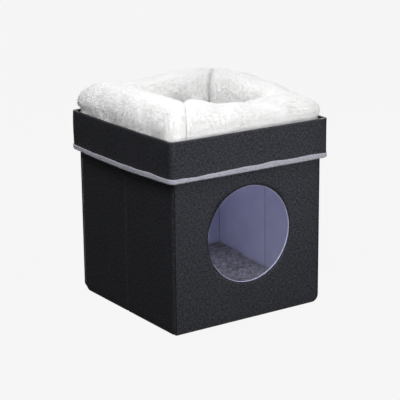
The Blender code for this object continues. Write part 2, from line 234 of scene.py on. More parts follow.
def maths(tree, operation, first, second=0.5, third=None):
    # A calculation with one, two or three values.
    node = tree.nodes.new("ShaderNodeMath")
    node.operation = operation
    feed(tree, first, node.inputs[0])
    feed(tree, second, node.inputs[1])
    if third is not None:
        feed(tree, third, node.inputs[2])
    return node.outputs[0]


def mixColour(tree, share, first, second):
    # From the first colour to the second by the share.
    node = tree.nodes.new("ShaderNodeMix")
    node.data_type = "RGBA"
    feed(tree, share, node.inputs[0])
    feed(tree, first, node.inputs[6])
    feed(tree, second, node.inputs[7])
    return node.outputs[2]


def remap(tree, value, low, high, newLow=0.0, newHigh=1.0):
    # From one range to another along a straight line, held at its ends.
    node = tree.nodes.new("ShaderNodeMapRange")
    feed(tree, value, node.inputs["Value"])
    for label, number in (("From Min", low), ("From Max", high), ("To Min", newLow), ("To Max", newHigh)):
        feed(tree, number, node.inputs[label])
    return node.outputs["Result"]


def noise(tree, vector, size, detail=2.0, roughness=0.5, distortion=0.0):
    # Noise whose features are about the size, in the vector's own metres.
    node = tree.nodes.new("ShaderNodeTexNoise")
    feed(tree, vector, node.inputs["Vector"])
    if isinstance(size, bpy.types.NodeSocket):
        feed(tree, maths(tree, "DIVIDE", 1.0, size), node.inputs["Scale"])
    else:
        node.inputs["Scale"].default_value = 1.0 / size
    node.inputs["Detail"].default_value = detail
    node.inputs["Roughness"].default_value = roughness
    node.inputs["Distortion"].default_value = distortion
    return node.outputs["Fac"]


def newGroup(name, inputs, outputs):
    # An empty group with its named inputs, each with a kind and a value, and its outputs.
    group = bpy.data.node_groups.new(name, "ShaderNodeTree")
    for label, kind, value in inputs:
        socket = group.interface.new_socket(label, in_out="INPUT", socket_type="NodeSocket" + kind)
        if value is not None:
            socket.default_value = value
    for label in outputs:
        group.interface.new_socket(label, in_out="OUTPUT", socket_type="NodeSocketFloat")
    return group, group.nodes.new("NodeGroupInput").outputs, group.nodes.new("NodeGroupOutput").inputs


def placeGroup(tree, group, **values):
    # A shared group with this material's own values.
    node = tree.nodes.new("ShaderNodeGroup")
    node.node_tree = group
    for label, value in values.items():
        feed(tree, value, node.inputs[label])
    return node.outputs


def makeThreadGroup():
    # Plain weave: warp and weft ridges, |sin| across each yarn, change places like a chess board.
    inputs = [("Vector", "Vector", None), ("Pitch", "Float", 0.0006)]
    tree, given, made = newGroup("woven threads", inputs, ["Height", "Yarn"])
    split = tree.nodes.new("ShaderNodeSeparateXYZ")
    tree.links.new(given["Vector"], split.inputs[0])
    ridges, counts = [], []
    for k in range(2):
        count = maths(tree, "DIVIDE", split.outputs[k], given["Pitch"])
        wave = maths(tree, "SINE", maths(tree, "MULTIPLY", count, math.pi))
        ridges.append(maths(tree, "ABSOLUTE", wave))
        counts.append(maths(tree, "FLOOR", count))
    turn = maths(tree, "FLOORED_MODULO", maths(tree, "ADD", counts[0], counts[1]), 2.0)
    away = maths(tree, "SUBTRACT", 1.0, turn)
    height = maths(tree, "ADD", maths(tree, "MULTIPLY", ridges[0], turn),
                   maths(tree, "MULTIPLY", ridges[1], away))
    yarns = []
    for k, seed in ((0, 3.7), (1, 9.1)):
        spots = tree.nodes.new("ShaderNodeTexWhiteNoise")
        spots.noise_dimensions = "1D"
        feed(tree, maths(tree, "ADD", counts[k], seed), spots.inputs["W"])
        yarns.append(spots.outputs["Value"])
    yarn = maths(tree, "ADD", maths(tree, "MULTIPLY", yarns[0], turn),
                 maths(tree, "MULTIPLY", yarns[1], away))
    feed(tree, height, made["Height"])
    feed(tree, yarn, made["Yarn"])
    return tree


def stretched(tree, vector, scale):
    # The vector with each of its parts scaled.
    node = tree.nodes.new("ShaderNodeVectorMath")
    node.operation = "MULTIPLY"
    feed(tree, vector, node.inputs[0])
    node.inputs[1].default_value = scale
    return node.outputs[0]


def makeFleckGroup():
    # Melange: noise drawn out along the warp plus noise drawn out along the weft, sharpened to 0 to 1.
    inputs = [("Vector", "Vector", None), ("Size", "Float", 0.0013), ("Sharpness", "Float", 0.2)]
    tree, given, made = newGroup("melange flecks", inputs, ["Flecks"])
    warp = noise(tree, stretched(tree, given["Vector"], (0.30, 1.0, 1.0)), given["Size"], detail=1.0)
    weft = noise(tree, stretched(tree, given["Vector"], (1.0, 0.30, 1.0)), given["Size"], detail=1.0)
    total = maths(tree, "MULTIPLY", maths(tree, "ADD", warp, weft), 0.5)
    low = maths(tree, "SUBTRACT", 0.5, given["Sharpness"])
    high = maths(tree, "ADD", 0.5, given["Sharpness"])
    feed(tree, remap(tree, total, low, high), made["Flecks"])
    return tree


wearAndHighlight = {"patches": (0.35, 0.7), "dustSize": 0.09, "dust": (0.4, 0.75)}


def makeWearAndHighlightGroup():
    # Paler edges, partly wear and partly a painted highlight: the edge field times patchy noise, plus faint
    # dust all over.
    inputs = [("Vector", "Vector", None), ("Edge", "Float", 0.0), ("Patch", "Float", 0.02),
              ("Dust", "Float", 0.1)]
    tree, given, made = newGroup("worn and highlit edges", inputs, ["Rubbed"])
    patches = noise(tree, given["Vector"], given["Patch"], detail=4.0, roughness=0.6)
    patches = remap(tree, patches, *wearAndHighlight["patches"])
    dust = remap(tree, noise(tree, given["Vector"], wearAndHighlight["dustSize"], detail=3.0), *wearAndHighlight["dust"])
    wornAndHighlit = maths(tree, "ADD", maths(tree, "MULTIPLY", given["Edge"], patches),
                   maths(tree, "MULTIPLY", dust, given["Dust"]))
    feed(tree, maths(tree, "MINIMUM", wornAndHighlit, 1.0), made["Rubbed"])
    return tree


pileShade = {"patches": (0.3, 0.7), "tipPower": 0.7, "patchShare": 0.35, "lockShare": 0.65}


def makePileGroup():
    # Pile: dark at the root and light at the tip, a painted shade deep in the pile, with each lock and each
    # patch a little its own shade.
    inputs = [("Vector", "Vector", None), ("Tip", "Float", 1.0), ("Lock", "Float", 0.5),
              ("Patch", "Float", 0.03), ("Spread", "Float", 0.4)]
    tree, given, made = newGroup("pile shade", inputs, ["Shade"])
    patches = remap(tree, noise(tree, given["Vector"], given["Patch"], detail=3.0), *pileShade["patches"])
    tips = maths(tree, "POWER", given["Tip"], pileShade["tipPower"])
    locks = maths(tree, "ADD", maths(tree, "MULTIPLY", patches, pileShade["patchShare"]),
                  maths(tree, "MULTIPLY", given["Lock"], pileShade["lockShare"]))
    difference = maths(tree, "SUBTRACT", locks, tips)
    feed(tree, maths(tree, "MULTIPLY_ADD", difference, given["Spread"], tips), made["Shade"])
    return tree


threadGroup = makeThreadGroup()
fleckGroup = makeFleckGroup()
wearAndHighlightGroup = makeWearAndHighlightGroup()
pileGroup = makePileGroup()


# Finishes

def newMaterial(name, roughness, sheen=0.0, sheenRoughness=0.5, specular=0.5):
    # A material with its tree and its shader, set to plain values.
    material = bpy.data.materials.new(name)
    material.use_nodes = True
    tree = material.node_tree
    shader = tree.nodes["Principled BSDF"]
    shader.inputs["Roughness"].default_value = roughness
    shader.inputs["Sheen Weight"].default_value = sheen
    shader.inputs["Sheen Roughness"].default_value = sheenRoughness
    shader.inputs["Specular IOR Level"].default_value = specular
    return material, tree, shader


def ownField(tree, name):
    # A value that the mesh carries at its points.
    node = tree.nodes.new("ShaderNodeAttribute")
    node.attribute_name = name
    return node.outputs["Fac"]


def flatCloth(tree):
    # Flat cloth coordinates in metres.
    node = tree.nodes.new("ShaderNodeUVMap")
    node.uv_map = "cloth"
    return node.outputs["UV"]


def ownPlace(tree):
    # The piece's own coordinates in metres.
    return tree.nodes.new("ShaderNodeTexCoord").outputs["Object"]


def bump(tree, shader, height, distance, strength):
    # Fine relief: the height turns the shader's normal.
    node = tree.nodes.new("ShaderNodeBump")
    node.inputs["Strength"].default_value = strength
    node.inputs["Distance"].default_value = distance
    feed(tree, height, node.inputs["Height"])
    tree.links.new(node.outputs["Normal"], shader.inputs["Normal"])


def clothColour(tree, shader, look, place, shade):
    # Dark to light by the shade plus each yarn's own, paler at edges as wear and as a painted highlight.
    # Gives the weave's height.
    threads = placeGroup(tree, threadGroup, Vector=place, Pitch=look["pitch"])
    edgeWearAndHighlight = placeGroup(tree, wearAndHighlightGroup, Vector=place, Edge=ownField(tree, "edge"), Patch=look["wearAndHighlightPatch"],
                      Dust=look["dust"])
    yarns = maths(tree, "MULTIPLY_ADD", threads["Yarn"], *look["yarns"])
    colour = mixColour(tree, maths(tree, "ADD", shade, yarns), look["dark"], look["light"])
    wornAndHighlit = maths(tree, "MULTIPLY", edgeWearAndHighlight["Rubbed"], look["wearAndHighlightShare"])
    colour = mixColour(tree, wornAndHighlit, colour, look["wornAndHighlit"])
    feed(tree, colour, shader.inputs["Base Color"])
    return threads["Height"]


blackCloth = {
    "dark": (0.0034, 0.0035, 0.0044, 1), "light": (0.022, 0.0225, 0.0280, 1),
    # The paler edge colour stands for wear and for a painted highlight on rounded edges
    "wornAndHighlit": (0.055, 0.056, 0.064, 1), "wearAndHighlightPatch": 0.012, "wearAndHighlightShare": 0.5, "dust": 0.10,
    "pitch": 0.00055, "yarns": (0.35, -0.17),           # width of a yarn, weight and shift of its own shade
    "fleck": 0.0018, "fleckSharpness": 0.10, "fleckRelief": 0.6,
    "sheen": 0.01, "sheenRoughness": 0.5, "gloss": (0.84, 0.87, 1.0, 1), "relief": (0.00016, 0.7),
    "roughness": 0.50, "roughnessByFleck": (0.58, 0.44), "specular": 0.40, "specularByFleck": (0.30, 0.62),
}


def makeOuterCloth():
    # Near-black melange cloth: weave under flecks, paler at edges as wear and as a painted highlight.
    look = blackCloth
    material, tree, shader = newMaterial("outer cloth", look["roughness"], look["sheen"],
                                         look["sheenRoughness"], look["specular"])
    place = flatCloth(tree)
    flecks = placeGroup(tree, fleckGroup, Vector=place, Size=look["fleck"],
                        Sharpness=look["fleckSharpness"])["Flecks"]
    weave = clothColour(tree, shader, look, place, flecks)
    feed(tree, remap(tree, flecks, 0.0, 1.0, *look["roughnessByFleck"]), shader.inputs["Roughness"])
    feed(tree, remap(tree, flecks, 0.0, 1.0, *look["specularByFleck"]), shader.inputs["Specular IOR Level"])
    shader.inputs["Specular Tint"].default_value = look["gloss"]
    bump(tree, shader, maths(tree, "MULTIPLY_ADD", flecks, look["fleckRelief"], weave), *look["relief"])
    return material


lavenderCloth = {
    "dark": (0.43, 0.44, 0.64, 1), "light": (0.50, 0.51, 0.72, 1),
    # The paler edge colour stands for wear and for a painted highlight on rounded edges
    "wornAndHighlit": (0.62, 0.62, 0.74, 1), "wearAndHighlightPatch": 0.02, "wearAndHighlightShare": 0.25, "dust": 0.15,
    "pitch": 0.00038, "yarns": (0.3, -0.15), "shadeSize": 0.06, "shades": (0.3, 0.7),
    "roughness": 0.62, "sheen": 0.10, "sheenRoughness": 0.4, "specular": 0.3, "relief": (0.00007, 0.5),
}


def makeLiningCloth():
    # Smooth fine cloth in lavender grey, with soft broad shading and a satin surface.
    look = lavenderCloth
    material, tree, shader = newMaterial("lining cloth", look["roughness"], look["sheen"],
                                         look["sheenRoughness"], look["specular"])
    place = flatCloth(tree)
    broad = remap(tree, noise(tree, place, look["shadeSize"]), *look["shades"])
    bump(tree, shader, clothColour(tree, shader, look, place, broad), *look["relief"])
    return material


pileSurface = {
    "roughness": 0.95, "sheenRoughness": 0.6, "specular": 0.2, "grain": 0.0012, "relief": (0.0003, 0.4),
}


def makePile(name, shadedRoot, tip, patch, sheen, spread):
    # Pile of one colour family, from its root, darkened as painted shade, to its tip.
    look = pileSurface
    material, tree, shader = newMaterial(name, look["roughness"], sheen, look["sheenRoughness"],
                                         look["specular"])
    place = ownPlace(tree)
    shade = placeGroup(tree, pileGroup, Vector=place, Tip=ownField(tree, "tip"), Lock=ownField(tree, "lock"),
                       Patch=patch, Spread=spread)["Shade"]
    feed(tree, mixColour(tree, shade, shadedRoot, tip), shader.inputs["Base Color"])
    bump(tree, shader, noise(tree, place, look["grain"]), *look["relief"])
    return material


board = {
    "dark": (0.21, 0.19, 0.165, 1), "light": (0.42, 0.39, 0.34, 1), "roughness": 0.9,
    "fibre": 0.0011, "fibres": (0.35, 0.65), "fibreShare": 0.6, "pulp": 0.02, "pulpShare": 0.4,
    "relief": (0.0002, 0.5),
}


def makeBoard():
    # Grey board: short fibres in every direction over a mottled pulp.
    look = board
    material, tree, shader = newMaterial("grey board", look["roughness"])
    place = ownPlace(tree)
    fibres = noise(tree, place, look["fibre"], detail=4.0, roughness=0.7, distortion=1.5)
    pulp = noise(tree, place, look["pulp"], detail=3.0)
    share = maths(tree, "MULTIPLY_ADD", remap(tree, fibres, *look["fibres"]), look["fibreShare"],
                  maths(tree, "MULTIPLY", pulp, look["pulpShare"]))
    feed(tree, mixColour(tree, share, look["dark"], look["light"]), shader.inputs["Base Color"])
    bump(tree, shader, fibres, *look["relief"])
    return material


foam = {
    "dark": (0.45, 0.43, 0.34, 1), "light": (0.82, 0.80, 0.70, 1), "roughness": 0.95,
    "cellsPerMetre": 650, "hollow": 0.6, "relief": (0.0006, 0.8),
}


def makeFoam():
    # Open foam: round cells from a Voronoi distance, darker in their hollows as painted shade.
    look = foam
    material, tree, shader = newMaterial("soft foam", look["roughness"])
    cells = tree.nodes.new("ShaderNodeTexVoronoi")
    cells.inputs["Scale"].default_value = look["cellsPerMetre"]
    tree.links.new(ownPlace(tree), cells.inputs["Vector"])
    hollow = remap(tree, cells.outputs["Distance"], 0.0, look["hollow"])
    feed(tree, mixColour(tree, hollow, look["dark"], look["light"]), shader.inputs["Base Color"])
    bump(tree, shader, hollow, *look["relief"])
    return material


outerCloth = makeOuterCloth()
liningCloth = makeLiningCloth()
greyBoard = makeBoard()
softFoam = makeFoam()
whitePlush = makePile("white plush", shadedRoot=(0.64, 0.64, 0.63, 1), tip=(0.95, 0.95, 0.945, 1), patch=0.006,
                      sheen=0.45, spread=0.35)
greyFur = makePile("grey fur", shadedRoot=(0.020, 0.020, 0.036, 1), tip=(0.55, 0.54, 0.65, 1), patch=0.010,
                   sheen=0.1, spread=0.70)
greyFleece = makePile("grey fleece", shadedRoot=(0.10, 0.098, 0.125, 1), tip=(0.62, 0.615, 0.70, 1), patch=0.004,
                      sheen=0.2, spread=0.5)
whiteCloth = makePile("white base cloth", shadedRoot=(0.60, 0.60, 0.58, 1), tip=(0.78, 0.78, 0.76, 1), patch=0.01,
                      sheen=0.3, spread=0.4)
print("materials ready")


# Panels of the cube

cubePanel = {
    "edgeRound": 0.0015,      # round of the outer edge
    "edgeZone": 0.0046,       # edge strip, followed ring by ring
    "backRound": 0.0012,      # round of the inner edge
    "margin": 0.0019,         # cover turned over onto the inside
    "corner": 0.0036,         # top corners in elevation
    "nearFoot": 0.0036,       # bottom corners at the near left hinge and at the creases
    "farFoot": 0.0160,        # and at the other hinges
    "cloth": 0.0008, "lapGap": 0.0001,
    "step": 0.0085, "cornerSteps": 7, "leastCorner": 0.0005,
    "faceRows": 18, "facePower": 0.9, "middleHole": 0.003,
    "zoneRows": 24, "wallRows": 5, "turnRows": 6, "liningRows": 12,
    "puff": 0.0007, "liningPuff": 0.0008, "puffLump": 0.30, "puffSize": 0.075,
    "groove": 0.0034, "grooveInset": 0.0023, "grooveWidth": 0.00085,  # sewn beside whole panels' edges
    "liningInset": 0.0008, "liningRound": 0.0006,
    "boardInset": 0.0048, "boardSharp": 40,
    "grooveTurn": (0.6, 0.4), "creaseTurn": (0.7, 0.3),       # start and reach, as parts of the edge's normal
    "creaseReach": 0.0006,    # cloth edge to the crease line
    "ground": 0.0001,
    "marginWearAndHighlight": 0.25,       # of the wear and painted highlight that the outer edge has
}


def roundedOutline(low, high, radii, counts, cornerSteps=cubePanel["cornerSteps"]):
    # Straight runs joined by quarter circles, counter-clockwise, with the outward normal of each point.
    signs = np.array([[1, -1], [1, 1], [-1, 1], [-1, -1]])
    extremes = np.where(signs > 0, high, low)
    centres = extremes - signs * radii[:, None]
    points, normals = [], []
    for k in range(4):
        angle = math.pi / 2 * (k - 1) + np.linspace(0, math.pi / 2, cornerSteps + 1)
        spread = np.stack([np.cos(angle), np.sin(angle)], -1)
        arc = centres[k] + radii[k] * spread
        angleAfter = math.pi / 2 * k
        normal = np.array([math.cos(angleAfter), math.sin(angleAfter)])
        beyond = centres[(k + 1) % 4] + radii[(k + 1) % 4] * normal
        run = arc[-1] + (beyond - arc[-1]) * np.arange(1, counts[k])[:, None] / counts[k]
        points += [arc, run]
        normals += [spread, np.tile(normal, (counts[k] - 1, 1))]
    return np.concatenate(points), np.concatenate(normals)


def insetRings(low, high, radii, counts, insets, cornerSteps=cubePanel["cornerSteps"]):
    # The outline drawn in by each inset: a shrinking round at each corner of a shrinking rectangle.
    least = cubePanel["leastCorner"]
    return np.stack([roundedOutline(low + inset, high - inset, np.maximum(radii - inset, least), counts,
                                    cornerSteps)[0] for inset in insets])


def panelPlace(node):
    # The wall that a panel belongs to: directions along it and out of it, and its span, from its box.
    low, high = (np.array(corner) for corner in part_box(node))
    middle = (low + high) / 2
    sizes = high - low
    if sizes[0] < sizes[1]:
        out = np.array([math.copysign(1, middle[0]), 0.0, 0.0])
    else:
        out = np.array([0.0, math.copysign(1, middle[1]), 0.0])
    along = np.array([-out[1], out[0], 0.0])
    return out, along, boxSpan(node, along)


def panelRings(rim, centre, holeRadius, faceShares):
    # Rings between the hole, or the middle point, and the start of the edge zone.
    hole = centre + holeRadius * unit(rim - centre)
    return hole + (rim - hole) * faceShares[:, None, None]


def panelShape(name, entrance):
    # What cover, lining and board share: the wall's directions, the outline, and rings over its face.
    size = cubePanel
    out, along, spans = panelPlace(f"{name}_cover")
    innerFace = boxSpan(f"{name}_lining", out)[0]
    depth = boxSpan(f"{name}_cover", out)[1] - innerFace
    whole = abs(spans[0] + spans[1]) < 1e-6
    # A half panel reaches closer to its crease, which is at its end next to the middle
    creaseEnd = None if whole else int(np.argmin(np.abs(spans)))
    if not whole:
        spans[creaseEnd] = math.copysign(size["creaseReach"], spans[creaseEnd])
    feet = []
    for end in (0, 1):
        place = along * spans[end] + out
        near = place[0] < 0 and place[1] < 0
        feet.append(size["nearFoot"] if end == creaseEnd or near else size["farFoot"])
    low = np.array([spans[0], size["ground"]])
    high = np.array([spans[1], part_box(f"{name}_cover")[1].z])
    radii = np.array([feet[1], size["corner"], size["corner"], feet[0]])
    counts = [int((high[k % 2] - low[k % 2]) / size["step"]) for k in (1, 0, 1, 0)]
    normals = roundedOutline(low, high, radii, counts)[1]
    panel = SimpleNamespace(name=name, out=out, along=along, innerFace=innerFace, depth=depth, whole=whole,
                            creaseEnd=creaseEnd, low=low, high=high, radii=radii, counts=counts,
                            normals=normals, entrance=entrance)
    panel.centre = np.array([0.0, entrance["height"]]) if entrance else (low + high) / 2
    panel.hole = entrance["radius"] if entrance else size["middleHole"]
    panel.rim = edgeRings(panel, [size["edgeZone"]])[0]
    shares = np.linspace(0, 1, size["faceRows"]) ** size["facePower"]
    panel.face = panelRings(panel.rim, panel.centre, panel.hole, shares)
    panel.toHole = np.linalg.norm(panel.face - panel.centre, axis=-1) - panel.hole
    return panel


def edgeRings(panel, insets):
    # The panel's outline drawn in by each inset.
    return insetRings(panel.low, panel.high, panel.radii, panel.counts, insets)


def bulge(panel, amount, seed):
    # Crown of a panel: a parabola each way, with slow lumps of 0.3 of that on top, calm round the entrance.
    size = cubePanel
    across, upward = np.moveaxis((panel.face - panel.low) / (panel.high - panel.low) * 2 - 1, -1, 0)
    crown = np.clip(1 - across ** 2, 0, 1) * np.clip(1 - upward ** 2, 0, 1)
    flat = np.concatenate([panel.face, np.zeros(panel.face.shape[:-1] + (1,))], -1)
    calm = ease(panel.toHole / panel.entrance["calmReach"]) if panel.entrance else 1.0
    return calm * (amount * crown * (1 + size["puffLump"] * lumps(flat, size["puffSize"], seed)))


def panelGrid(flat, depth, out, along, innerFace):
    # From wall coordinates and depth, counted outwards from the panel's inner face, to the frame.
    return (flat[..., :1] * along + np.array([0, 0, 1.0]) * flat[..., 1:]
            + (innerFace + depth)[..., None] * out)


def panelSheet(name, panel, rings, depth, wornRings, material, towards):
    # Makes the sheet of a ring grid, closed in its middle when it has no hole, and thickens it.
    rows, columns = rings.shape[:2]
    points = panelGrid(rings, depth, panel.out, panel.along, panel.innerFace).reshape(-1, 3)
    uv = rings.reshape(-1, 2)
    edge = aroundRings(wornRings, columns).reshape(-1)
    faces = [gridFaces(rows, columns)]
    if panel.entrance is None:
        points = np.concatenate([points, points[:columns].mean(0, keepdims=True)])
        uv = np.concatenate([uv, uv[:columns].mean(0, keepdims=True)])
        edge = np.append(edge, 0.0)
        faces.append(fanFaces(0, columns, rows * columns)[:, ::-1])
    faces = outwards(points, faces, towards)
    piece = buildPiece(name, points, faces, material, uv, {"edge": edge})
    return thicken(piece, cubePanel["cloth"])


def makePanelCover(panel, seed):
    # Face, edge zone with its quarter round, wall, and the margin turned under the lining.
    size = cubePanel
    edgeRound, backRound, lap = size["edgeRound"], size["backRound"], size["cloth"] + size["lapGap"]
    zone = np.linspace(size["edgeZone"], 0, size["zoneRows"])[1:]
    rounded = np.clip(edgeRound - zone, 0, None)
    zoneDepth = panel.depth - edgeRound + np.sqrt(edgeRound ** 2 - rounded ** 2)
    wall = np.linspace(panel.depth - edgeRound, lap + backRound, size["wallRows"])[1:]
    turn = np.linspace(0, math.pi / 2, size["turnRows"])[1:]
    turnInset = backRound * (1 - np.cos(turn))
    turnDepth = lap + backRound * (1 - np.sin(turn))
    insets = np.concatenate([zone, np.zeros(len(wall)), turnInset, [size["margin"]]])
    rings = np.concatenate([panel.face, edgeRings(panel, insets)])
    faceRows = len(panel.face)
    levels = np.concatenate([np.full(faceRows, panel.depth), zoneDepth, wall, turnDepth, [lap]])
    depth = aroundRings(levels, len(panel.normals))
    if panel.whole:
        # The groove is a Gaussian across the edge zone, and runs where the outline stands upright
        start, reach = size["grooveTurn"]
        upright = ease((np.abs(panel.normals[:, 0]) - start) / reach)
        cut = size["groove"] * np.exp(-((insets - size["grooveInset"]) / size["grooveWidth"]) ** 2)
        cut[len(zone):] = 0.0
        depth[faceRows:] -= cut[:, None] * upright
    depth[:faceRows] += bulge(panel, size["puff"], seed)
    # The rounded edge is paler, as wear and as a painted highlight, and the rest of the edge strip by a
    # quarter of that
    edgeWearAndHighlight = np.concatenate([np.zeros(faceRows), np.where(insets < edgeRound, 1.0, size["marginWearAndHighlight"])])
    cover = panelSheet(f"{panel.name}_cover_cloth", panel, rings, depth, edgeWearAndHighlight, outerCloth, panel.out)
    finishPiece(cover, panel.name, "outer_cloth", f"{panel.name}_cover")


def makePanelLining(panel, seed):
    # Flat on the inside and rounded over at its edge. Round the entrance it comes forward to the cover.
    size = cubePanel
    zone = np.linspace(size["edgeZone"] - size["liningInset"], 0, size["liningRows"])[1:]
    edge = edgeRings(panel, zone + size["liningInset"])
    if not panel.whole:
        towards = 1 if panel.creaseEnd == 1 else -1
        start, reach = size["creaseTurn"]
        toCrease = ease((panel.normals[:, :1] * towards - start) / reach)
        closer = 1 - zone / zone[0]
        edge += size["liningInset"] * closer[:, None, None] * toCrease * panel.normals
    turned = size["liningRound"]
    zoneDepth = turned - np.sqrt(turned ** 2 - np.clip(turned - zone, 0, None) ** 2)
    faceRows = len(panel.face)
    depth = aroundRings(np.concatenate([np.zeros(faceRows), zoneDepth]), len(panel.normals))
    depth[:faceRows] -= bulge(panel, size["liningPuff"], seed + 20)
    if panel.entrance:
        depth[:faceRows] += panel.entrance["pinch"] * ease(1 - panel.toHole / panel.entrance["pinchReach"])
    # The lining's rounded edge is paler, as wear and as a painted highlight
    edgeWearAndHighlight = np.concatenate([np.zeros(faceRows), np.ones(len(zone))])
    lining = panelSheet(f"{panel.name}_lining_cloth", panel, np.concatenate([panel.face, edge]), depth, edgeWearAndHighlight,
                        liningCloth, -panel.out)
    finishPiece(lining, panel.name, "lining_cloth", f"{panel.name}_lining")


def makePanelBoard(panel):
    # A plain slab: rings from its hole to its edge on the outer level, and back on the inner one.
    cutOut = panel.hole + (panel.entrance["pinchReach"] if panel.entrance else 0)
    face = panelRings(panel.rim, panel.centre, cutOut, np.array([0, 1.0]))
    slab = np.concatenate([face, edgeRings(panel, [cubePanel["boardInset"]])])
    both = np.concatenate([slab, slab[::-1]])
    rows, columns = both.shape[:2]
    inner, outer = boxSpan(f"{panel.name}_board", panel.out)
    level = aroundRings([outer] * len(slab) + [inner] * len(slab), columns)
    points = panelGrid(both, level, panel.out, panel.along, 0.0).reshape(-1, 3)
    faces = outwards(points, [gridFaces(rows, columns, closeRows=True)])
    piece = buildPiece(f"{panel.name}_board_core", points, faces, greyBoard)
    piece.data.set_sharp_from_angle(angle=math.radians(cubePanel["boardSharp"]))
    finishPiece(piece, panel.name, "board", f"{panel.name}_board")


def makePanel(name, seed, entrance=None):
    # Cover, lining and board of one stiff piece of the cube.
    panel = panelShape(name, entrance)
    makePanelCover(panel, seed)
    makePanelLining(panel, seed)
    makePanelBoard(panel)


entranceHole = {
    "radius": 0.1018, "height": 0.183,
    "pinch": 0.0045, "pinchReach": 0.0110,   # the lining comes forward to the cover round the hole
    "calmReach": 0.03,                       # the panel lies flatter this near to the hole
}
for seed, name in enumerate(("back", "left_front", "left_back", "right_front", "right_back")):
    makePanel(name, seed + 1)
makePanel("front", 9, entranceHole)
print("panels ready")


# Binding of the entrance

binding = {
    "radius": 0.1012, "cloth": 0.0005, "skin": 0.7, "lapIn": 0.0016, "lapRound": 0.0004, "lapEdge": 0.4,
    "sunk": 0.0003, "round": 0.0005, "wave": 0.00014, "waveSize": 0.035, "waveOut": 0.4, "steps": 224,
    "turnRows": 5, "edgeWearAndHighlight": 0.6,
}


def makeBinding():
    # A channel section turned round the hole, its radius and laps waving a little along the way.
    size = binding
    cloth, web = size["cloth"], size["radius"]
    outFace = -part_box("front_cover")[0].y - size["sunk"] - cloth
    inFace = -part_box("front_lining")[1].y + entranceHole["pinch"]
    turn = np.linspace(0, math.pi / 2, size["turnRows"])
    r = size["round"] + cloth
    outLap = web + cloth
    inLap = outLap + size["lapIn"]
    frontArc = np.stack([web + r - r * np.cos(turn), outFace + cloth - r + r * np.sin(turn)], -1)
    backArc = np.stack([web + r - r * np.sin(turn), inFace - cloth + r - r * np.cos(turn)], -1)
    section = np.concatenate([
        [[inLap, inFace - cloth * size["lapEdge"]], [inLap - size["lapRound"], inFace - cloth]],
        backArc, frontArc,
        [[outLap - size["lapRound"], outFace + cloth], [outLap, outFace + cloth * size["lapEdge"]]]])
    angle = np.linspace(0, 2 * math.pi, size["steps"], endpoint=False)
    circle = np.stack([np.cos(angle), np.zeros_like(angle), np.sin(angle)], -1)
    wave = size["wave"] * lumps(circle * web, size["waveSize"], 31)
    middle = np.array([0, 0, entranceHole["height"]])
    points = (section[:, :1] + wave)[..., None] * circle + middle
    points[..., 1] = -(section[:, 1:] + size["waveOut"] * wave * (section[:, :1] > web + r))
    uv = flatPlaces(angle * web, runLength(section)).reshape(-1, 2)
    rows, columns = points.shape[:2]
    points = points.reshape(-1, 3)
    faces = gridFaces(rows, columns)
    # The web between the two arcs looks inwards at the middle of the hole
    webFace = faces[(len(backArc) + 1) * columns]
    inward = (middle - points[webFace[0]]) * [1, 0, 1]
    if faceNormal(points, webFace) @ inward < 0:
        faces = faces[:, ::-1]
    # The whole binding is a little paler, as wear and as a painted highlight
    piece = buildPiece("entrance_binding_cloth", points, [faces], liningCloth, uv,
                       {"edge": np.full(len(points), size["edgeWearAndHighlight"])})
    thicken(piece, cloth * size["skin"])
    finishPiece(piece, "front", "lining_cloth", "entrance_binding")


makeBinding()


# Cloth hinges

clothHinge = {
    "leg": 0.0085, "round": 0.0012, "cloth": 0.0005, "tuck": 0.0009, "bottom": 0.003, "top": 0.354,
    "rows": 60, "turnRows": 7,
    "blendReach": 0.0022,     # a reach along each leg, which nothing reads
}


def makeCornerHinge(name, signX, signY):
    # A strip in the inner corner, under both linings: two legs joined by a quarter circle.
    size = clothHinge
    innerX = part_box("right_front_lining")[0].x + size["tuck"]
    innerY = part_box("back_lining")[0].y + size["tuck"]
    turn = np.linspace(0, math.pi / 2, size["turnRows"])
    r, leg, reach = size["round"], size["leg"], size["blendReach"]
    corner = np.stack([innerX - r + r * np.sin(turn), innerY - r + r * np.cos(turn)], -1)
    legX = [[innerX - leg, innerY], [innerX - leg / 2, innerY]]
    legY = [[innerX, innerY - leg / 2], [innerX, innerY - leg]]
    plan = np.concatenate([legX, corner, legY]) * [signX, signY]
    heights = np.linspace(size["bottom"], size["top"], size["rows"])
    points = np.dstack([np.broadcast_to(plan, (len(heights), *plan.shape)), aroundRings(heights, len(plan))])
    points = points.reshape(-1, 3)
    faces = outwards(points, [gridFaces(len(heights), len(plan), closeColumns=False)], (-signX, -signY, 0))
    piece = buildPiece(f"{name}_cloth", points, faces, outerCloth,
                       flatPlaces(runLength(plan), heights).reshape(-1, 2), {"edge": np.zeros(len(points))})
    settle(thicken(piece, -size["cloth"]))
    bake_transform(piece)
    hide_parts(name)


creaseBead = {
    "radius": 0.00085, "sides": 10, "rows": 356, "stitch": 0.003, "pinch": 0.14, "proud": 0.0001, "edgeWearAndHighlight": 0.4,
}


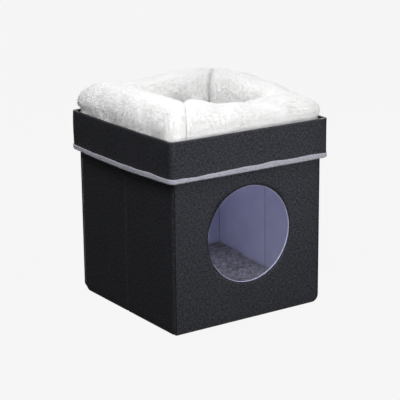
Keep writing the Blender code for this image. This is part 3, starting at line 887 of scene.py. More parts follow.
def makeCreaseBead(name, side, body):
    # A thin sewn cord on the crease line: a circle of a radius that pulses with its stitches.
    size = creaseBead
    radius, sides, rows = size["radius"], size["sides"], size["rows"]
    heights = np.linspace(clothHinge["bottom"], clothHinge["top"], rows)
    angle = np.linspace(0, 2 * math.pi, sides, endpoint=False)
    swell = radius * (1 - size["pinch"] * np.cos(2 * math.pi * heights / size["stitch"]) ** 8)[:, None]
    middle = side * (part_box("right_front_cover")[1].x - radius + size["proud"])
    grid = np.stack(np.broadcast_arrays(middle + swell * np.cos(angle), swell * np.sin(angle),
                                        heights[:, None]), -1)
    points, faces = closedSkin(grid)[:2]
    uv = flatPlaces(angle * radius, heights).reshape(-1, 2)
    uv = np.concatenate([uv, [[0, heights[0]], [0, heights[-1]]]])
    # The whole cord is a little paler, as wear and as a painted highlight
    piece = buildPiece(f"{name}_cord", points, faces, outerCloth, uv,
                       {"edge": np.full(len(points), size["edgeWearAndHighlight"])})
    finishPiece(piece, body, "outer_cloth", name)


for signY, wall in ((-1, "front"), (1, "back")):
    for signX, side in ((-1, "left"), (1, "right")):
        makeCornerHinge(f"corner_strip_{wall}_{side}", signX, signY)
makeCreaseBead("crease_strip_left", -1, "left_front")
makeCreaseBead("crease_strip_right", 1, "right_front")
print("hinges ready")


# Pile

def scatter(points, faces, normals, count, chance, weights=None):
    # Random places on the surface, as many per area everywhere, or by weight: position, normal, triangle.
    corners = triangles(faces)
    a, b, c = (points[corners[:, k]] for k in range(3))
    area = np.linalg.norm(np.cross(b - a, c - a), axis=1) / 2
    if weights is not None:
        area = area * weights[corners].mean(1)
    chosen = chance.choice(len(corners), count, p=area / area.sum())
    u, v = chance.random(count), chance.random(count)
    over = u + v > 1
    u[over], v[over] = 1 - u[over], 1 - v[over]
    share = np.stack([1 - u - v, u, v], -1)[..., None]
    spots = (points[corners[chosen]] * share).sum(1)
    return spots, unit((normals[corners[chosen]] * share).sum(1))


strand = {
    "sunk": 0.5,                                  # root below the skin, in widths
    "halfUp": 0.62, "halfOver": 0.55, "halfWidth": 0.78, "halfTip": 0.6,    # ring half way up a long strand
    "longReach": 1.25, "shortReach": 1.1,         # length along the lean and the normal together
    "tipLean": 0.5, "bodyTip": 0.25, "bodyLock": 0.5,
}


def litFromAbove(normals, amount):
    # Deep pile takes its light from above: shading normals tilted upwards.
    return unit(normals + np.array([0, 0, amount]))


def makeStrands(roots, normals, lean, length, width, size):
    # Three-sided strands that lean over: a triangle under the skin, on long ones a smaller one half way up,
    # and a point. Their shading lies between their own sides and the skin, by the softness.
    lean = unit(lean - normals * (lean * normals).sum(-1, keepdims=True))
    across = np.cross(normals, lean)
    angle = np.arange(3) * 2 * math.pi / 3
    spoke = lean[:, None] * np.cos(angle)[:, None] + across[:, None] * np.sin(angle)[:, None]
    length, width, stand = length[:, None], width[:, None], size["stand"]
    ring = spoke * width[:, None] / 2
    levels = [(roots - normals * width * strand["sunk"])[:, None] + ring]
    heights = [0.0] * 3
    if size["long"]:
        half = (roots + normals * length * stand * strand["halfUp"]
                + lean * length * (1 - stand) * strand["halfOver"])
        levels.append(half[:, None] + ring * strand["halfWidth"])
        heights += [strand["halfTip"]] * 3
    reach = strand["longReach"] if size["long"] else strand["shortReach"]
    tip = roots + normals * length * stand + lean * length * (reach - stand)
    points = np.concatenate(levels + [tip[:, None]], 1)
    own = np.concatenate([spoke] * len(levels) + [lean[:, None] * strand["tipLean"] + normals[:, None]], 1)
    skin = litFromAbove(normals, size["upward"])[:, None]
    shading = unit(own * (1 - size["softness"]) + skin * size["softness"])
    top = len(heights) - 3
    base = (np.arange(len(roots)) * (top + 4))[:, None]
    pairs = [(k, (k + 1) % 3) for k in range(3)]
    faces = [np.concatenate([base + np.array([top + k, top + after, top + 3]) for k, after in pairs]
                            + [base + np.array([2, 1, 0])])]
    if size["long"]:
        sides = [base + np.array([k, after, 3 + after, 3 + k]) for k, after in pairs]
        faces.insert(0, np.concatenate(sides))
    return points.reshape(-1, 3), faces, shading.reshape(-1, 3), np.tile(heights + [1.0], len(roots))


def joinPile(name, base, strands, material, shades):
    # One piece of a base body and its strands, with the height up a strand and a shade for each one.
    points, faces, normals = base
    strandPoints, strandFaces, strandNormals, height = strands
    moved = [part + len(points) for part in strandFaces]
    # The body sits low on the root-to-tip colours: painted shade under the strands
    tip = np.concatenate([np.full(len(points), strand["bodyTip"]), height])
    lock = np.concatenate([np.full(len(points), strand["bodyLock"]),
                           np.repeat(shades, len(strandPoints) // len(shades))])
    everything = np.concatenate([points, strandPoints])
    shading = np.concatenate([normals, strandNormals])
    return buildPiece(name, everything, faces + moved, material, None, {"tip": tip, "lock": lock}, shading)


def flow(points, size, seed):
    # A smooth field of directions: three unlike sets of lumps as its three parts.
    return np.stack([lumps(points, size, seed + k) for k in range(3)], -1)


def drawStrands(size, chance, count):
    # Random length and width of each strand, evenly spread between their least and greatest share.
    length = size["tuftLength"] * chance.uniform(*size["lengths"], count)
    return length, size["tuftWidth"] * chance.uniform(*size["widths"], count)


def strandShades(size, chance, roots, seed):
    # A shade for each strand, from 0 to 1: lumps over the surface and a stray part of its own.
    broad = size["shade"] + size["shadeLump"] * lumps(roots, size["shadeSize"], seed)
    return np.clip(broad + chance.normal(size=len(roots)) * size["shadeStray"], 0, 1)


def growPile(name, base, skin, weights, size, seeds, material):
    # Strands on the skin of a body: their lean is a smooth field, a stray part of their own and a fall.
    chance = np.random.default_rng(seeds[0])
    roots, up = scatter(*skin, size["tufts"], chance, weights)
    lean = (size["flow"] * flow(roots, size["flowSize"], seeds[1])
            + chance.normal(size=roots.shape) * size["stray"] - np.array([0, 0, size["fall"]]))
    length, width = drawStrands(size, chance, len(roots))
    if "lock" in size:
        length = length * (1 + size["lock"] * lumps(roots, size["lockSize"], seeds[2]))
    strands = makeStrands(roots, up, lean, length, width, size)
    shades = strandShades(size, chance, roots, seeds[2]) if "shade" in size else chance.random(len(roots))
    return joinPile(name, base, strands, material, shades)


# Plush bed

bolster = {
    "pile": 0.0030,           # plush left between the stuffed body and the outside
    "upperPower": 2.25, "lowerPower": 3.2,
    "mitreGap": 0.0004,
    "drawIn": 0.12, "drawOut": 0.075, "drawDown": 0.11,       # section lost at the mitre seam
    "drawReach": 0.13,        # share of the half length over which it is lost
    "rows": 150, "rowPower": 1.5, "columns": 84,
    "ridgeRows": 19,          # rows over which the ridge's heights are smoothed
    "round": 0.010, "nearRound": 0.028,       # plan radius of the outside at the tray's corners
    "turn": 0.026, "turnReach": 0.055,        # the left bolster's end turns the near corner by this much
    "spillReach": 0.075,      # plush over the rim at two corners, named by the signs of x and y
    "spills": ((1, -1, 0.0035), (-1, 1, 0.0055)),
    "spillFoot": 0.002, "spillRise": 0.018, "spillTop": 0.022, "spillFall": 0.034, "spillBack": 1.1,
    "bigLump": 0.0012, "bigSize": 0.075, "smallLump": 0.00012, "smallSize": 0.024,
    "fineLump": 0.00006, "fineSize": 0.009, "seamCalm": 0.8, "footCalm": 0.03,
    "tufts": 36000, "tuftLength": 0.0040, "lengths": (0.65, 1.15),
    "tuftWidth": 0.0012, "widths": (0.75, 1.25),
    "lock": 0.15, "lockSize": 0.010, "flow": 0.2, "flowSize": 0.012, "stray": 1.0, "fall": 0.2,
    "long": False, "stand": 0.84, "softness": 0.58, "upward": 0.65,
    "hiddenIn": 0.006, "hiddenDown": 0.008, "bareDown": 0.022, "bare": 0.02,  # few strands inside the tray
}
# Height added to the ridge, in metres, at shares of the way along each bolster
ridges = {
    "front": ((-1, 0.0), (-0.8, 0.0), (-0.35, -0.013), (0.3, -0.020), (0.55, -0.019), (0.8, -0.013),
              (1, -0.014)),
    "back": ((-1, -0.001), (-0.6, 0.002), (-0.25, 0.002), (0.25, -0.003), (0.5, -0.008), (0.8, -0.003),
             (1, -0.001)),
    "left": ((-1, 0.003), (-0.5, 0.0), (0.4, 0.0), (1, 0.0)),
    "right": ((-1, -0.025), (-0.75, -0.013), (-0.5, -0.005), (0, -0.001), (0.5, 0.004), (1, -0.002)),
}


def turnCorners(points):
    # Square rings in plan become squares with round corners: the path along a ring, counted from its
    # corner, is laid on a quarter circle and a straight run. At the near left corner it is first moved on.
    size = bolster
    outer = -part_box("bolster_left")[0].x - size["pile"]
    width = outer + float(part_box("bolster_left")[1].x)
    flat = np.abs(points[..., :2])
    level = np.maximum(flat.max(-1), 1e-6)
    onEnd = flat[..., 1] > flat[..., 0]
    path = np.where(onEnd, level - flat[..., 0], flat[..., 1] - level)
    depth = outer - level
    near = (points[..., 0] < 0) & (points[..., 1] < 0)
    path = path + near * size["turn"] * ease(1 - depth / width) * np.exp(-(path / size["turnReach"]) ** 2)
    radius = np.clip(np.where(near, size["nearRound"], size["round"]) - np.clip(depth, 0, None), 1e-5, None)
    half = math.pi / 4 * radius
    angle = math.pi / 4 + np.clip(path / radius, -math.pi / 4, math.pi / 4)
    run = np.clip(1 - (np.abs(path) - half) / (level - half), 0, 1)
    straight = (level - radius) * run
    curved = np.abs(path) < half
    first = np.where(curved, level - radius + radius * np.cos(angle), np.where(path < 0, level, straight))
    second = np.where(curved, level - radius + radius * np.sin(angle), np.where(path < 0, straight, level))
    turned = points.copy()
    turned[..., 0] = np.sign(points[..., 0]) * first
    turned[..., 1] = np.sign(points[..., 1]) * second
    # Above the rim a Gaussian about a corner pushes the plush outwards over it, less again higher up
    above = turned[..., 2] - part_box("tray_cover")[1].z
    fallen = size["spillBack"] * ease((above - size["spillTop"]) / size["spillFall"])
    rising = ease((above - size["spillFoot"]) / size["spillRise"]) * (1 - fallen)
    for sideX, sideY, amount in size["spills"]:
        side = np.array([sideX, sideY])
        outward = turned[..., :2] * side
        away = ((outward - outer) ** 2).sum(-1)
        spill = amount * np.exp(-away / size["spillReach"] ** 2) * rising
        turned[..., :2] += side * spill[..., None] * ease((outward - outer + width) / width)
    return turned


def squaredCircle(angle, power):
    # Cosine and sine of the angle, each raised to 2 over the power: an oval with fuller corners.
    circle = np.stack([np.cos(angle), np.sin(angle)])
    return np.sign(circle) * np.abs(circle) ** (2 / power)


def ridgeLift(name, share):
    # Straight runs between the ridge's heights, smoothed by a raised cosine.
    stops = np.array(ridges[name])
    rows = bolster["ridgeRows"]
    lift = np.pad(np.interp(share, stops[:, 0], stops[:, 1]), rows // 2, mode="edge")
    return np.convolve(lift, np.hanning(rows) / np.hanning(rows).sum(), "valid")


def bolsterBody(name, out, seed):
    # A squared oval carried from mitre to mitre, rounded in at the ends like a quarter circle, raised along
    # its ridge and lumpy.
    size = bolster
    low, high = (np.array(corner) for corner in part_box(f"bolster_{name}"))
    along = np.array([-out[1], out[0], 0.0])
    inner, outer = boxSpan(f"bolster_{name}", out)
    halfWidth = (outer - inner) / 2 - size["pile"]
    halfHeight = (high[2] - low[2]) / 2 - size["pile"] / 2
    centreOut, centreUp = (outer + inner) / 2, low[2] + halfHeight
    share = np.linspace(-1, 1, size["rows"])
    share = np.sign(share) * (1 - (1 - np.abs(share)) ** size["rowPower"])
    angle = np.linspace(0, 2 * math.pi, size["columns"], endpoint=False)
    across, upward = squaredCircle(angle, np.where(np.sin(angle) > 0, size["upperPower"], size["lowerPower"]))
    closing = np.clip((np.abs(share) - 1 + size["drawReach"]) / size["drawReach"], 0, 1)
    ends = 1 - np.sqrt(1 - closing ** 2)
    scale = 1 - np.where(across > 0, size["drawOut"], size["drawIn"])[None, :] * ends[:, None]
    sideways = halfWidth * across[None, :] * scale
    heights = centreUp + halfHeight * upward[None, :] * (1 - size["drawDown"] * ends[:, None] * (upward > 0))
    heights = heights + ridgeLift(name, share)[:, None] * np.clip(upward, 0, 1)[None, :]
    reach = centreOut + sideways - size["mitreGap"]
    grid = (out * (centreOut + sideways)[..., None] + along * (share[:, None] * reach)[..., None]
            + np.array([0, 0, 1.0]) * heights[..., None])
    rows, columns = grid.shape[:2]
    points = turnCorners(grid).reshape(-1, 3)
    normals = pointNormals(points, outwards(points, [gridFaces(rows, columns)]))
    fade = np.repeat(1 - size["seamCalm"] * ends, columns) * ease((points[:, 2] - low[2]) / size["footCalm"])
    push = (size["bigLump"] * lumps(points, size["bigSize"], seed)
            + size["smallLump"] * lumps(points, size["smallSize"], seed + 5)
            + size["fineLump"] * lumps(points, size["fineSize"], seed + 6))
    return closedSkin((points + normals * (push * fade)[:, None]).reshape(rows, columns, 3))


def makeBolster(name, out, seed):
    # The stuffed body with its plush: short strands that lean in locks and fall a little outwards.
    size = bolster
    points, faces, normals = bolsterBody(name, np.array(out, float), seed)
    aboveRim = points[:, 2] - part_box("tray_cover")[1].z
    side = np.abs(points[:, :2]).max(-1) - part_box("bolster_back")[1].y
    hidden = (side > -size["hiddenIn"]) & (aboveRim < -size["hiddenDown"])
    weights = np.where(hidden | (aboveRim < -size["bareDown"]), size["bare"], 1.0)
    base = points, faces, litFromAbove(normals, size["upward"])
    piece = growPile(f"bolster_{name}_plush", base, (points, faces, normals), weights, size,
                     (seed + 40, seed + 60, seed + 80), whitePlush)
    finishPiece(piece, "bed", "white_plush", f"bolster_{name}")


bolsterSides = (("front", (0, -1, 0)), ("right", (1, 0, 0)), ("back", (0, 1, 0)), ("left", (-1, 0, 0)))
for seed, (name, out) in enumerate(bolsterSides):
    makeBolster(name, out, 100 + 7 * seed)

cushion = {
    "pile": 0.0030, "pileBeside": 0.6, "foot": 0.001, "waist": 0.45, "power": 5.0, "upperPower": 4,
    "lowerPower": 10, "poleGap": 0.02, "rows": 64, "columns": 128,
    "lump": 0.0012, "lumpSize": 0.05, "sag": 0.004, "sagReach": 0.05,
    "tufts": 18000, "tuftLength": 0.0045, "lengths": (0.7, 1.15), "tuftWidth": 0.0013, "widths": (0.75, 1.25),
    "flow": 1.0, "flowSize": 0.018, "stray": 0.6, "fall": 0.0, "bareDown": 0.004,
    "long": False, "stand": 0.84, "softness": 0.86, "upward": 0.0,
}


def makeCushion():
    # A crowned pad of superellipse rings: its height falls to the edge as 1 minus r^4, and as 1 minus r^10
    # below, with lumps and a Gaussian sag on top.
    size = cushion
    low, high = (np.array(corner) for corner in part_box("bed_cushion"))
    half = (high[:2] - low[:2]) / 2 - size["pile"] * size["pileBeside"]
    base, crown = low[2] + size["foot"], high[2] - size["pile"]
    turn = np.linspace(size["poleGap"], math.pi / 2 - size["poleGap"], size["rows"])
    radial = np.sin(np.concatenate([turn, turn[::-1]]))
    rise = np.concatenate([1 - np.sin(turn) ** size["upperPower"],
                           -(1 - np.sin(turn[::-1]) ** size["lowerPower"])])
    angle = np.linspace(0, 2 * math.pi, size["columns"], endpoint=False)
    grid = np.empty((len(radial), len(angle), 3))
    grid[..., :2] = radial[:, None, None] * squaredCircle(angle, size["power"]).T * half
    waist = base + (crown - base) * size["waist"]
    grid[..., 2] = waist + np.where(rise > 0, rise * (crown - waist), rise * (waist - base))[:, None]
    upper = (grid[..., 2] > waist).astype(float)
    lumpy = size["lump"] * lumps(grid, size["lumpSize"], 301)
    grid[..., 2] += upper * (lumpy - size["sag"] * np.exp(-(grid[..., 0] ** 2 + grid[..., 1] ** 2)
                                                          / size["sagReach"] ** 2))
    body = closedSkin(grid)
    weights = np.where(body[0][:, 2] > waist - size["bareDown"], 1.0, 0.0)
    piece = growPile("bed_cushion_plush", body, body, weights, size, (311, 320), whitePlush)
    finishPiece(piece, "bed", "white_plush", "bed_cushion")


makeCushion()
print("bed ready")


# Floor mat

floorMat = {
    "corner": 0.016, "edge": 0.006, "coreBottom": 0.0002, "coreSunk": 0.0005, "coreCrown": 0.001,
    "crown": 0.0015, "backing": 0.0028, "backingEdge": 0.0014, "trim": 0.0010, "bareDown": 0.001,
    "sideSteps": 54, "turnRows": 8, "topRows": 34, "underRows": 12, "pole": 0.01, "underIn": 0.001,
    "lump": 0.0006, "lumpSize": 0.07, "lumpDown": 0.0005,
    "curl": 0.0100, "curlReach": 0.085,       # the back corners stand up against the walls
    "dip": 0.0050, "dipReach": 0.07, "dipAt": -0.01,          # and the sides lie lower between them
    "bendHeight": 0.03,
    "tufts": 17000, "tuftLength": 0.0125, "lengths": (0.55, 1.1), "tuftWidth": 0.0022, "widths": (0.7, 1.3),
    "swirls": ((1.7, 0.11, 420), (0.6, 0.035, 421)), "stray": 0.45,       # turn of the strands, size, seed
    "lock": 0.30, "lockSize": 0.013, "edgeLength": 0.0010, "edgeSlope": 1.1,
    "long": True, "stand": 0.42, "softness": 0.45, "upward": 0.0,
    "shade": 0.44, "shadeLump": 0.34, "shadeSize": 0.012, "shadeStray": 0.14,
    "pressedAt": (0, -0.17634, 0.02), "pressed": 0.005,       # between the folded linings
}


def curled(points):
    # Height added by two Gaussian hills at the back corners, less a Gaussian dip at the middle of each side.
    size = floorMat
    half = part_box("mat_foam")[1].x
    corner = (np.abs(points[:, 0]) - half) ** 2 + (points[:, 1] - half) ** 2
    side = (np.abs(points[:, 0]) - half) ** 2 + (points[:, 1] - size["dipAt"]) ** 2
    rise = (size["curl"] * np.exp(-corner / size["curlReach"] ** 2)
            - size["dip"] * np.exp(-side / size["dipReach"] ** 2))
    lifted = points.copy()
    lifted[:, 2] += rise * ease(points[:, 2] / size["bendHeight"])
    return lifted


def matBody(half, bottom, top, edge, crown, seed):
    # A slab with round edges: rings of a rounded square, by a quarter circle from its wall to its top, which
    # is crowned by a parabola and lumpy.
    size = floorMat
    outline, normals = roundedOutline(-half, half, np.full(4, size["corner"]), [size["sideSteps"]] * 4)
    count = len(outline)
    turn = np.linspace(0, math.pi / 2, size["turnRows"])
    rings = outline - (edge * (1 - np.cos(turn)))[:, None, None] * normals
    face = rings[-1] * np.linspace(1, size["pole"], size["topRows"])[1:, None, None]
    faceTop = top + crown * (1 - np.abs(face / half).max(-1) ** 2)
    low = outline - size["underIn"] * normals
    under = low * np.linspace(size["pole"], 1, size["underRows"])[:, None, None]
    grid = np.concatenate([
        np.dstack([under, aroundRings(np.full(len(under), bottom), count)]),
        np.dstack([rings, aroundRings(top - edge + edge * np.sin(turn), count)]),
        np.dstack([face, faceTop])])
    onTop = grid[..., 2] > top - size["lumpDown"]
    grid[..., 2] += np.where(onTop, size["lump"] * lumps(grid, size["lumpSize"], seed), 0)
    return closedSkin(grid)


def makeMat():
    # Foam core with round edges, and a fur top whose long strands lie in swirls.
    size = floorMat
    high = np.array(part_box("mat_foam")[1])
    half = high[:2]
    points, faces = matBody(half, size["coreBottom"], high[2] - size["coreSunk"], size["edge"],
                            size["coreCrown"], 401)[:2]
    core = buildPiece("mat_foam_core", curled(points), faces, softFoam)
    furLow = float(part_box("mat_fur")[0].z)
    flatPoints, faces, normals = matBody(half - size["trim"], furLow, furLow + size["backing"],
                                         size["backingEdge"], size["crown"], 402)
    # The fur grows on all of the upper side, and so also where the mat dips later on
    weights = np.where(flatPoints[:, 2] > furLow + size["bareDown"], 1.0, 0.0)
    points = curled(flatPoints)
    chance = np.random.default_rng(411)
    roots, up = scatter(points, faces, normals, size["tufts"], chance, weights)
    heading = sum(turn * lumps(roots, reach, seed) for turn, reach, seed in size["swirls"])
    heading = heading + chance.normal(size=len(roots)) * size["stray"]
    lean = np.stack([np.cos(heading), np.sin(heading), np.zeros(len(roots))], -1)
    length, width = drawStrands(size, chance, len(roots))
    length = length * (1 + size["lock"] * lumps(roots, size["lockSize"], 423))
    inside = (half - np.abs(roots[:, :2])).min(-1)
    length = np.minimum(length, size["edgeLength"] + inside * size["edgeSlope"])
    strands = makeStrands(roots, up, lean, length, width, size)
    shades = strandShades(size, chance, roots, 430)
    fur = joinPile("mat_fur_pile", (points, faces, normals), strands, greyFur, shades)
    for piece, slot, node in ((core, "foam", "mat_foam"), (fur, "grey_fur", "mat_fur")):
        finishPiece(piece, "mat", slot, node)
        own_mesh(piece)


makeMat()
print("mat ready")


# Tray lid

tray = {
    "corner": 0.012, "cornerSteps": 14, "step": 0.004, "cloth": 0.0008, "fullness": 0.0006,
    "rimRound": 0.0017, "turnRows": 6, "bandRows": 22, "bandFoot": 0.0006, "coverLaps": (0.006, 0.009),
    "wave": 0.00030, "waveSize": 0.09, "waveSeed": 511,
    "liningInset": 0.0058, "wallGap": 0.0006, "recessGap": 0.0010, "recessRows": (0.004, 0.010, 0.020),
    "undersideGap": -0.0002, "undersideRows": (0.001, 0.010), "undersideRise": 0.006,
    "floorRound": 0.004, "floorRows": 24, "floorGap": 0.0014, "ceilingGap": 0.0008,
    "bowLeft": 0.0035, "bowFront": 0.0015, "bowRest": 0.0010,     # walls pressed out by the filling
}


def trayOutline():
    # Plan of the band: half size, steps and radius of its corners, then its points and their normals.
    half = np.array(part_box("tray_cover")[1])[:2] + tray["fullness"]
    counts = [int(2 * half[0] / tray["step"])] * 4
    corners = np.full(4, tray["corner"])
    return half, counts, corners, *roundedOutline(-half, half, corners, counts, tray["cornerSteps"])


def trayRings(insets):
    # The band's plan drawn in by each inset.
    half, counts, corners = trayOutline()[:3]
    return insetRings(-half, half, corners, counts, insets, tray["cornerSteps"])


def facedTowards(points, faces, outward, towards):
    # Turns faces round when the first one, where the wall's normal is outward, doesn't look the given way.
    if faceNormal(points, faces[0][0])[:2] @ outward * towards < 0:
        return [part[:, ::-1] for part in faces]
    return faces


def sweepTray(name, insets, heights, material, towards=1.0, centreRows=0, wave=None, edge=None):
    # A section, as insets and heights, carried round the tray, and on to its middle where it has a floor.
    outline, normals = trayOutline()[3:]
    insets, heights = np.asarray(insets, float), np.asarray(heights, float)
    count = len(outline)
    grid = np.dstack([trayRings(insets), aroundRings(heights, count)])
    if wave is not None:
        grid = grid + wave(grid, normals)
    around = runLength(np.vstack([outline, outline[:1]]))[:-1]
    uv = flatPlaces(around, runLength(np.stack([insets, heights], -1)))
    edges = aroundRings(np.zeros(len(insets)) if edge is None else edge, count)
    if centreRows:
        shares = np.linspace(1, 0, centreRows + 1)[1:-1]
        middle = (grid[-1] * [1, 1, 0])[None] * shares[:, None, None] + [0, 0, heights[-1]]
        grid = np.concatenate([grid, middle])
        uv = np.concatenate([uv, middle[..., :2]])
        edges = np.concatenate([edges, np.zeros(middle.shape[:2])])
    rows, columns = grid.shape[:2]
    points, uv, edges = grid.reshape(-1, 3), uv.reshape(-1, 2), edges.reshape(-1)
    faces = [gridFaces(rows, columns)]
    if centreRows:
        points = np.concatenate([points, [[0, 0, heights[-1]]]])
        uv = np.concatenate([uv, [[0, 0]]])
        edges = np.append(edges, 0.0)
        faces.append(fanFaces((rows - 1) * columns, columns, rows * columns))
    faces = facedTowards(points, faces, normals[0], towards)
    return thicken(buildPiece(name, points, faces, material, uv, {"edge": edges}), tray["cloth"])


def trayBow(grid, normals):
    # Parabola along each wall, 1 at its middle and 0 at its ends, times that wall's bow.
    size = tray
    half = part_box("tray_cover")[1].x
    bowX = np.where(normals[:, 0] < 0, size["bowLeft"], size["bowRest"])
    bowY = np.where(normals[:, 1] < 0, size["bowFront"], size["bowRest"])
    alongX = np.clip(1 - (grid[..., 1] / half) ** 2, 0, 1) * bowX * normals[:, 0]
    alongY = np.clip(1 - (grid[..., 0] / half) ** 2, 0, 1) * bowY * normals[:, 1]
    return np.dstack([alongX, alongY, np.zeros(grid.shape[:2])])


def trayWave(grid, normals):
    # Slow ripples of the cloth wall, along the wall's own normal, over its bow.
    push = tray["wave"] * lumps(grid, tray["waveSize"], tray["waveSeed"])
    return np.dstack([push[..., None] * normals, np.zeros(grid.shape[:2])]) + trayBow(grid, normals)


hem = {
    "height": 0.0108, "cloth": 0.0009, "proud": 0.0010, "proudTop": 0.8, "topGap": 0.0001, "frontFrom": -0.17,
    "lap": 0.0012, "foldRows": 13, "foldHeight": 0.0022, "insideRise": (0.002, 0.004, 0.0056),
    "rise": (1.0, 0.93, 0.75, 0.5, 0.25),    # rows of the outer side, as shares of its height
    "swells": ((-0.13, 0.045, -0.0020), (0.02, 0.05, 0.0012)),    # along the front: place, reach, height
    "wave": 0.0005, "waveSize": 0.06,
    "ripple": 0.00012, "rippleSize": 0.03,   # of the fleece, over the ripples of the cloth that it is sewn to
    "droop": 0.0006,                         # lower all round, and lower still at the left
    "sag": 0.0034, "sagReach": 0.2, "sagFrom": 0.16, "sagFade": 0.025,
    "tufts": 16000, "tuftLength": 0.0019, "lengths": (0.6, 1.3), "tuftWidth": 0.0008, "widths": (0.7, 1.3),
    "insideTufts": 0.15, "flow": 1.0, "flowSize": 0.006, "stray": 0.8, "fall": 0.3,
    "long": False, "stand": 0.72, "softness": 0.5, "upward": 0.6,
    "shade": 0.5, "shadeLump": 0.4, "shadeSize": 0.005, "shadeStray": 0.2,
}


def hemHeight(points):
    # Height of the fleece edge: Gaussian swells along the front on the full height, with ripples.
    front = points[..., 1] < hem["frontFrom"]
    swells = sum(height * np.exp(-(((points[..., 0] - place) / reach) ** 2)) * front
                 for place, reach, height in hem["swells"])
    return hem["height"] + swells + hem["wave"] * lumps(points * [1, 1, 0], hem["waveSize"], 501)


def hemSag(grid):
    # A parabola down along the left wall, faded out round its corners.
    across = np.clip(1 - (grid[..., 1] / hem["sagReach"]) ** 2, 0, 1)
    return hem["sag"] * across * ease((-grid[..., 0] - hem["sagFrom"]) / hem["sagFade"])


def makeTray():
    # Band of the lid over its boards, the cloth of its recess and the lining of its underside: sections of
    # straight runs and quarter circles.
    size = tray
    bandBottom, rimTop = (corner.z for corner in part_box("tray_cover"))
    r = size["rimRound"]
    wall = size["liningInset"] + size["wallGap"]
    turn = np.linspace(0, math.pi / 2, size["turnRows"])
    band = np.linspace(bandBottom + size["bandFoot"], rimTop - r, size["bandRows"])[:-1]
    insets = np.concatenate([np.zeros(len(band)), r * (1 - np.cos(turn)), wall - r * (1 - np.sin(turn)),
                             [wall, wall]])
    heights = np.concatenate([band, rimTop - r + r * np.sin(turn), rimTop - r + r * np.cos(turn),
                              [rimTop - lap for lap in size["coverLaps"]]])
    # The rim's rounded turn is paler, as wear and as a painted highlight
    edge = np.concatenate([np.zeros(len(band)), np.ones(len(turn) * 2), [0, 0]])
    cover = sweepTray("tray_cover_cloth", insets, heights, outerCloth, wave=trayWave, edge=edge)
    finishPiece(cover, "tray", "outer_cloth", "tray_cover")
    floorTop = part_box("bolster_front")[0].z - size["floorGap"]
    bend = size["floorRound"]
    recessWall = wall + size["recessGap"]
    insets = np.concatenate([[recessWall] * 3, recessWall + bend * (1 - np.cos(turn))])
    heights = np.concatenate([[rimTop - down for down in size["recessRows"]],
                              floorTop + bend - bend * np.sin(turn)])
    recess = sweepTray("tray_recess_cloth", insets, heights, outerCloth, -1.0, size["floorRows"])
    finishPiece(recess, "tray", "outer_cloth", "tray_recess_lining")
    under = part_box("tray_underside_lining")[1].z - size["ceilingGap"]
    underWall = wall + size["undersideGap"]
    insets = np.concatenate([[underWall] * 3, underWall + bend * (1 - np.cos(turn))])
    heights = np.concatenate([[bandBottom + up for up in size["undersideRows"]],
                              [under - bend - size["undersideRise"]], under - bend + bend * np.sin(turn)])
    underside = sweepTray("tray_underside_cloth", insets, heights, liningCloth, -1.0, size["floorRows"])
    finishPiece(underside, "tray", "lining_cloth", "tray_underside_lining")


def hemGrid():
    # The fleece's section carried round the band: up its outer side, a half circle under the cloth's edge
    # and up its inner side. It follows the ripples of the cloth. With each row's share of the outer height.
    size = hem
    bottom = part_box("tray_hem_binding")[0].z - size["droop"]
    inner = tray["liningInset"] + size["lap"]
    turn = np.linspace(0, math.pi, size["foldRows"])
    centre = (inner - size["proud"]) / 2
    halfWidth = (inner + size["proud"]) / 2
    low = bottom + size["foldHeight"]
    rise = np.array(size["rise"])
    insets = np.concatenate([[-size["topGap"], -size["proud"] * size["proudTop"]] + [-size["proud"]] * 3,
                             centre - halfWidth * np.cos(turn), [inner] * 3])
    shares = np.concatenate([rise, np.zeros(len(turn)), [-1, -1, -1]])
    heights = np.concatenate([low + rise, low - size["foldHeight"] * np.sin(turn),
                              [low + up for up in size["insideRise"]]])
    outline, normals = trayOutline()[3:]
    grid = np.dstack([trayRings(insets), aroundRings(heights, len(outline))])
    outside = shares > 0
    top = hemHeight(np.append(outline, np.zeros((len(outline), 1)), 1))
    grid[outside, :, 2] = low + shares[outside][:, None] * (top + bottom - low)
    grid[..., 2] -= hemSag(grid)
    ripple = size["ripple"] * lumps(grid, size["rippleSize"], 521)
    grid += trayWave(grid, normals)
    grid[..., :2] += ripple[..., None] * normals
    return grid, shares, normals


def meshArrays(mesh):
    # Points and faces of a finished mesh as arrays, three-cornered faces apart from four-cornered ones.
    points = np.empty(len(mesh.vertices) * 3)
    mesh.vertices.foreach_get("co", points)
    corners = [face.vertices[:] for face in mesh.polygons]
    faces = [np.array([face for face in corners if len(face) == n]) for n in (3, 4)]
    return points.reshape(-1, 3), [part for part in faces if len(part)]


def makeHem():
    # Fleece folded over the bottom edge of the band, with short fibres standing on it.
    size = hem
    grid, shares, normals = hemGrid()
    rows, columns = grid.shape[:2]
    points = grid.reshape(-1, 3)
    faces = facedTowards(points, [gridFaces(rows, columns)], normals[0], 1.0)
    backing = buildPiece("tray_hem_backing", points, faces, greyFleece)
    settle(thicken(backing, size["cloth"]))
    # The thickened skin becomes the base that the fibres stand on
    basePoints, baseFaces = meshArrays(backing.data)
    bpy.data.objects.remove(backing)
    weights = np.repeat(np.where(shares >= 0, 1.0, size["insideTufts"]), columns)
    base = basePoints, baseFaces, pointNormals(basePoints, baseFaces)
    skin = points, faces, pointNormals(points, faces)
    piece = growPile("tray_hem_fleece", base, skin, weights, size, (531, 540, 551), greyFleece)
    finishPiece(piece, "tray", "fleece_binding", "tray_hem_binding")


def dressNode(node, material):
    # A plain solid that is hardly seen keeps its own mesh.
    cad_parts[node].data.materials.clear()
    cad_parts[node].data.materials.append(material)


makeTray()
makeHem()
for side in ("front", "back", "left", "right", "base"):
    dressNode(f"tray_{side}_board", greyBoard)
dressNode("bed_base_cloth", whiteCloth)
print("tray ready")


# Stage, light and camera

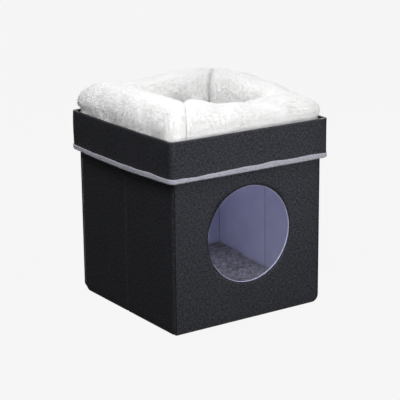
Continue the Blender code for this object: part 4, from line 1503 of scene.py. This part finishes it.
studio = {
    "floorSize": 60.0, "floorColour": (0.004, 0.004, 0.004, 1), "floorSeen": 0.916, "floorGlow": 0.04,
    "worldColour": (0.95, 0.97, 1.0, 1), "worldStrength": 0.17,
}
lamps = {
    "key": {"place": (-0.50, -1.10, 1.10), "aim": (-0.05, -0.10, 0.25), "size": 0.7, "power": 7.6},
    "front": {"place": (0.15, -1.15, 0.10), "aim": (-0.12, -0.18, 0.30), "size": 0.35, "power": 6.5},
    "back": {"place": (1.10, 1.30, 1.00), "aim": (0.0, 0.0, 0.20), "size": 0.9, "power": 17.0},
    "top": {"place": (-1.00, -0.72, 2.10), "aim": (-0.05, -0.05, 0.40), "size": 1.3, "power": 40.0},
    # A weak lamp within shows the lining as softly as the photograph does
    "cabin": {"place": (-0.135, -0.04, 0.22), "aim": (0.175, 0.02, 0.16), "size": 0.10, "power": 0.20},
}
view = {
    "place": (-1.64804, -2.43806, 1.03066), "azimuth": -34.112, "elevation": 15.524, "roll": -0.547,
    "lens": 128.47, "sensor": 36.0,
}


def makeStage():
    # A paper floor that looks evenly pale, and sends less than that up at the object.
    mesh = bpy.data.meshes.new("studio_floor")
    half = studio["floorSize"] / 2
    corners = [(-half, -half, 0), (half, -half, 0), (half, half, 0), (-half, half, 0)]
    mesh.from_pydata(corners, [], [(0, 1, 2, 3)])
    material, tree, shader = newMaterial("studio floor", 1.0, specular=0.0)
    shader.inputs["Base Color"].default_value = studio["floorColour"]
    shader.inputs["Emission Color"].default_value = (1, 1, 1, 1)
    seen = tree.nodes.new("ShaderNodeLightPath").outputs["Is Camera Ray"]
    glow = remap(tree, seen, 0.0, 1.0, studio["floorGlow"], studio["floorSeen"])
    feed(tree, glow, shader.inputs["Emission Strength"])
    mesh.materials.append(material)
    floor = bpy.data.objects.new("studio_floor", mesh)
    bpy.context.scene.collection.objects.link(floor)


def makeLamp(name, place, aim, size, power):
    # A square lamp turned from its place to what it aims at.
    lamp = bpy.data.lights.new(name, "AREA")
    lamp.shape = "SQUARE"
    lamp.size = size
    lamp.energy = power
    light = bpy.data.objects.new(name, lamp)
    light.visible_camera = False
    light.location = place
    light.rotation_euler = (Vector(aim) - Vector(place)).to_track_quat("-Z", "Y").to_euler()
    bpy.context.scene.collection.objects.link(light)


def makeWorld():
    # Faint even light from all round.
    world = bpy.data.worlds.new("studio")
    world.use_nodes = True
    sky = world.node_tree.nodes["Background"]
    sky.inputs["Color"].default_value = studio["worldColour"]
    sky.inputs["Strength"].default_value = studio["worldStrength"]
    bpy.context.scene.world = world


def makeCamera():
    # Axes of the camera from its azimuth, elevation and roll.
    azimuth, elevation, roll = (math.radians(view[key]) for key in ("azimuth", "elevation", "roll"))
    level = math.cos(elevation)
    back = np.array([math.sin(azimuth) * level, -math.cos(azimuth) * level, math.sin(elevation)])
    right = unit(np.cross([0, 0, 1], back))
    up = np.cross(back, right)
    sideways = right * math.cos(roll) + up * math.sin(roll)
    upright = -right * math.sin(roll) + up * math.cos(roll)
    data = bpy.data.cameras.new("photo_view")
    data.lens = view["lens"]
    data.sensor_width = view["sensor"]
    camera = bpy.data.objects.new("photo_view", data)
    turn = Matrix([[*row] for row in np.stack([sideways, upright, back], -1)])
    camera.matrix_world = Matrix.Translation(view["place"]) @ turn.to_4x4()
    bpy.context.scene.collection.objects.link(camera)
    bpy.context.scene.camera = camera


makeStage()
makeWorld()
for name, lamp in lamps.items():
    makeLamp(name, **lamp)
makeCamera()
print("stage ready")
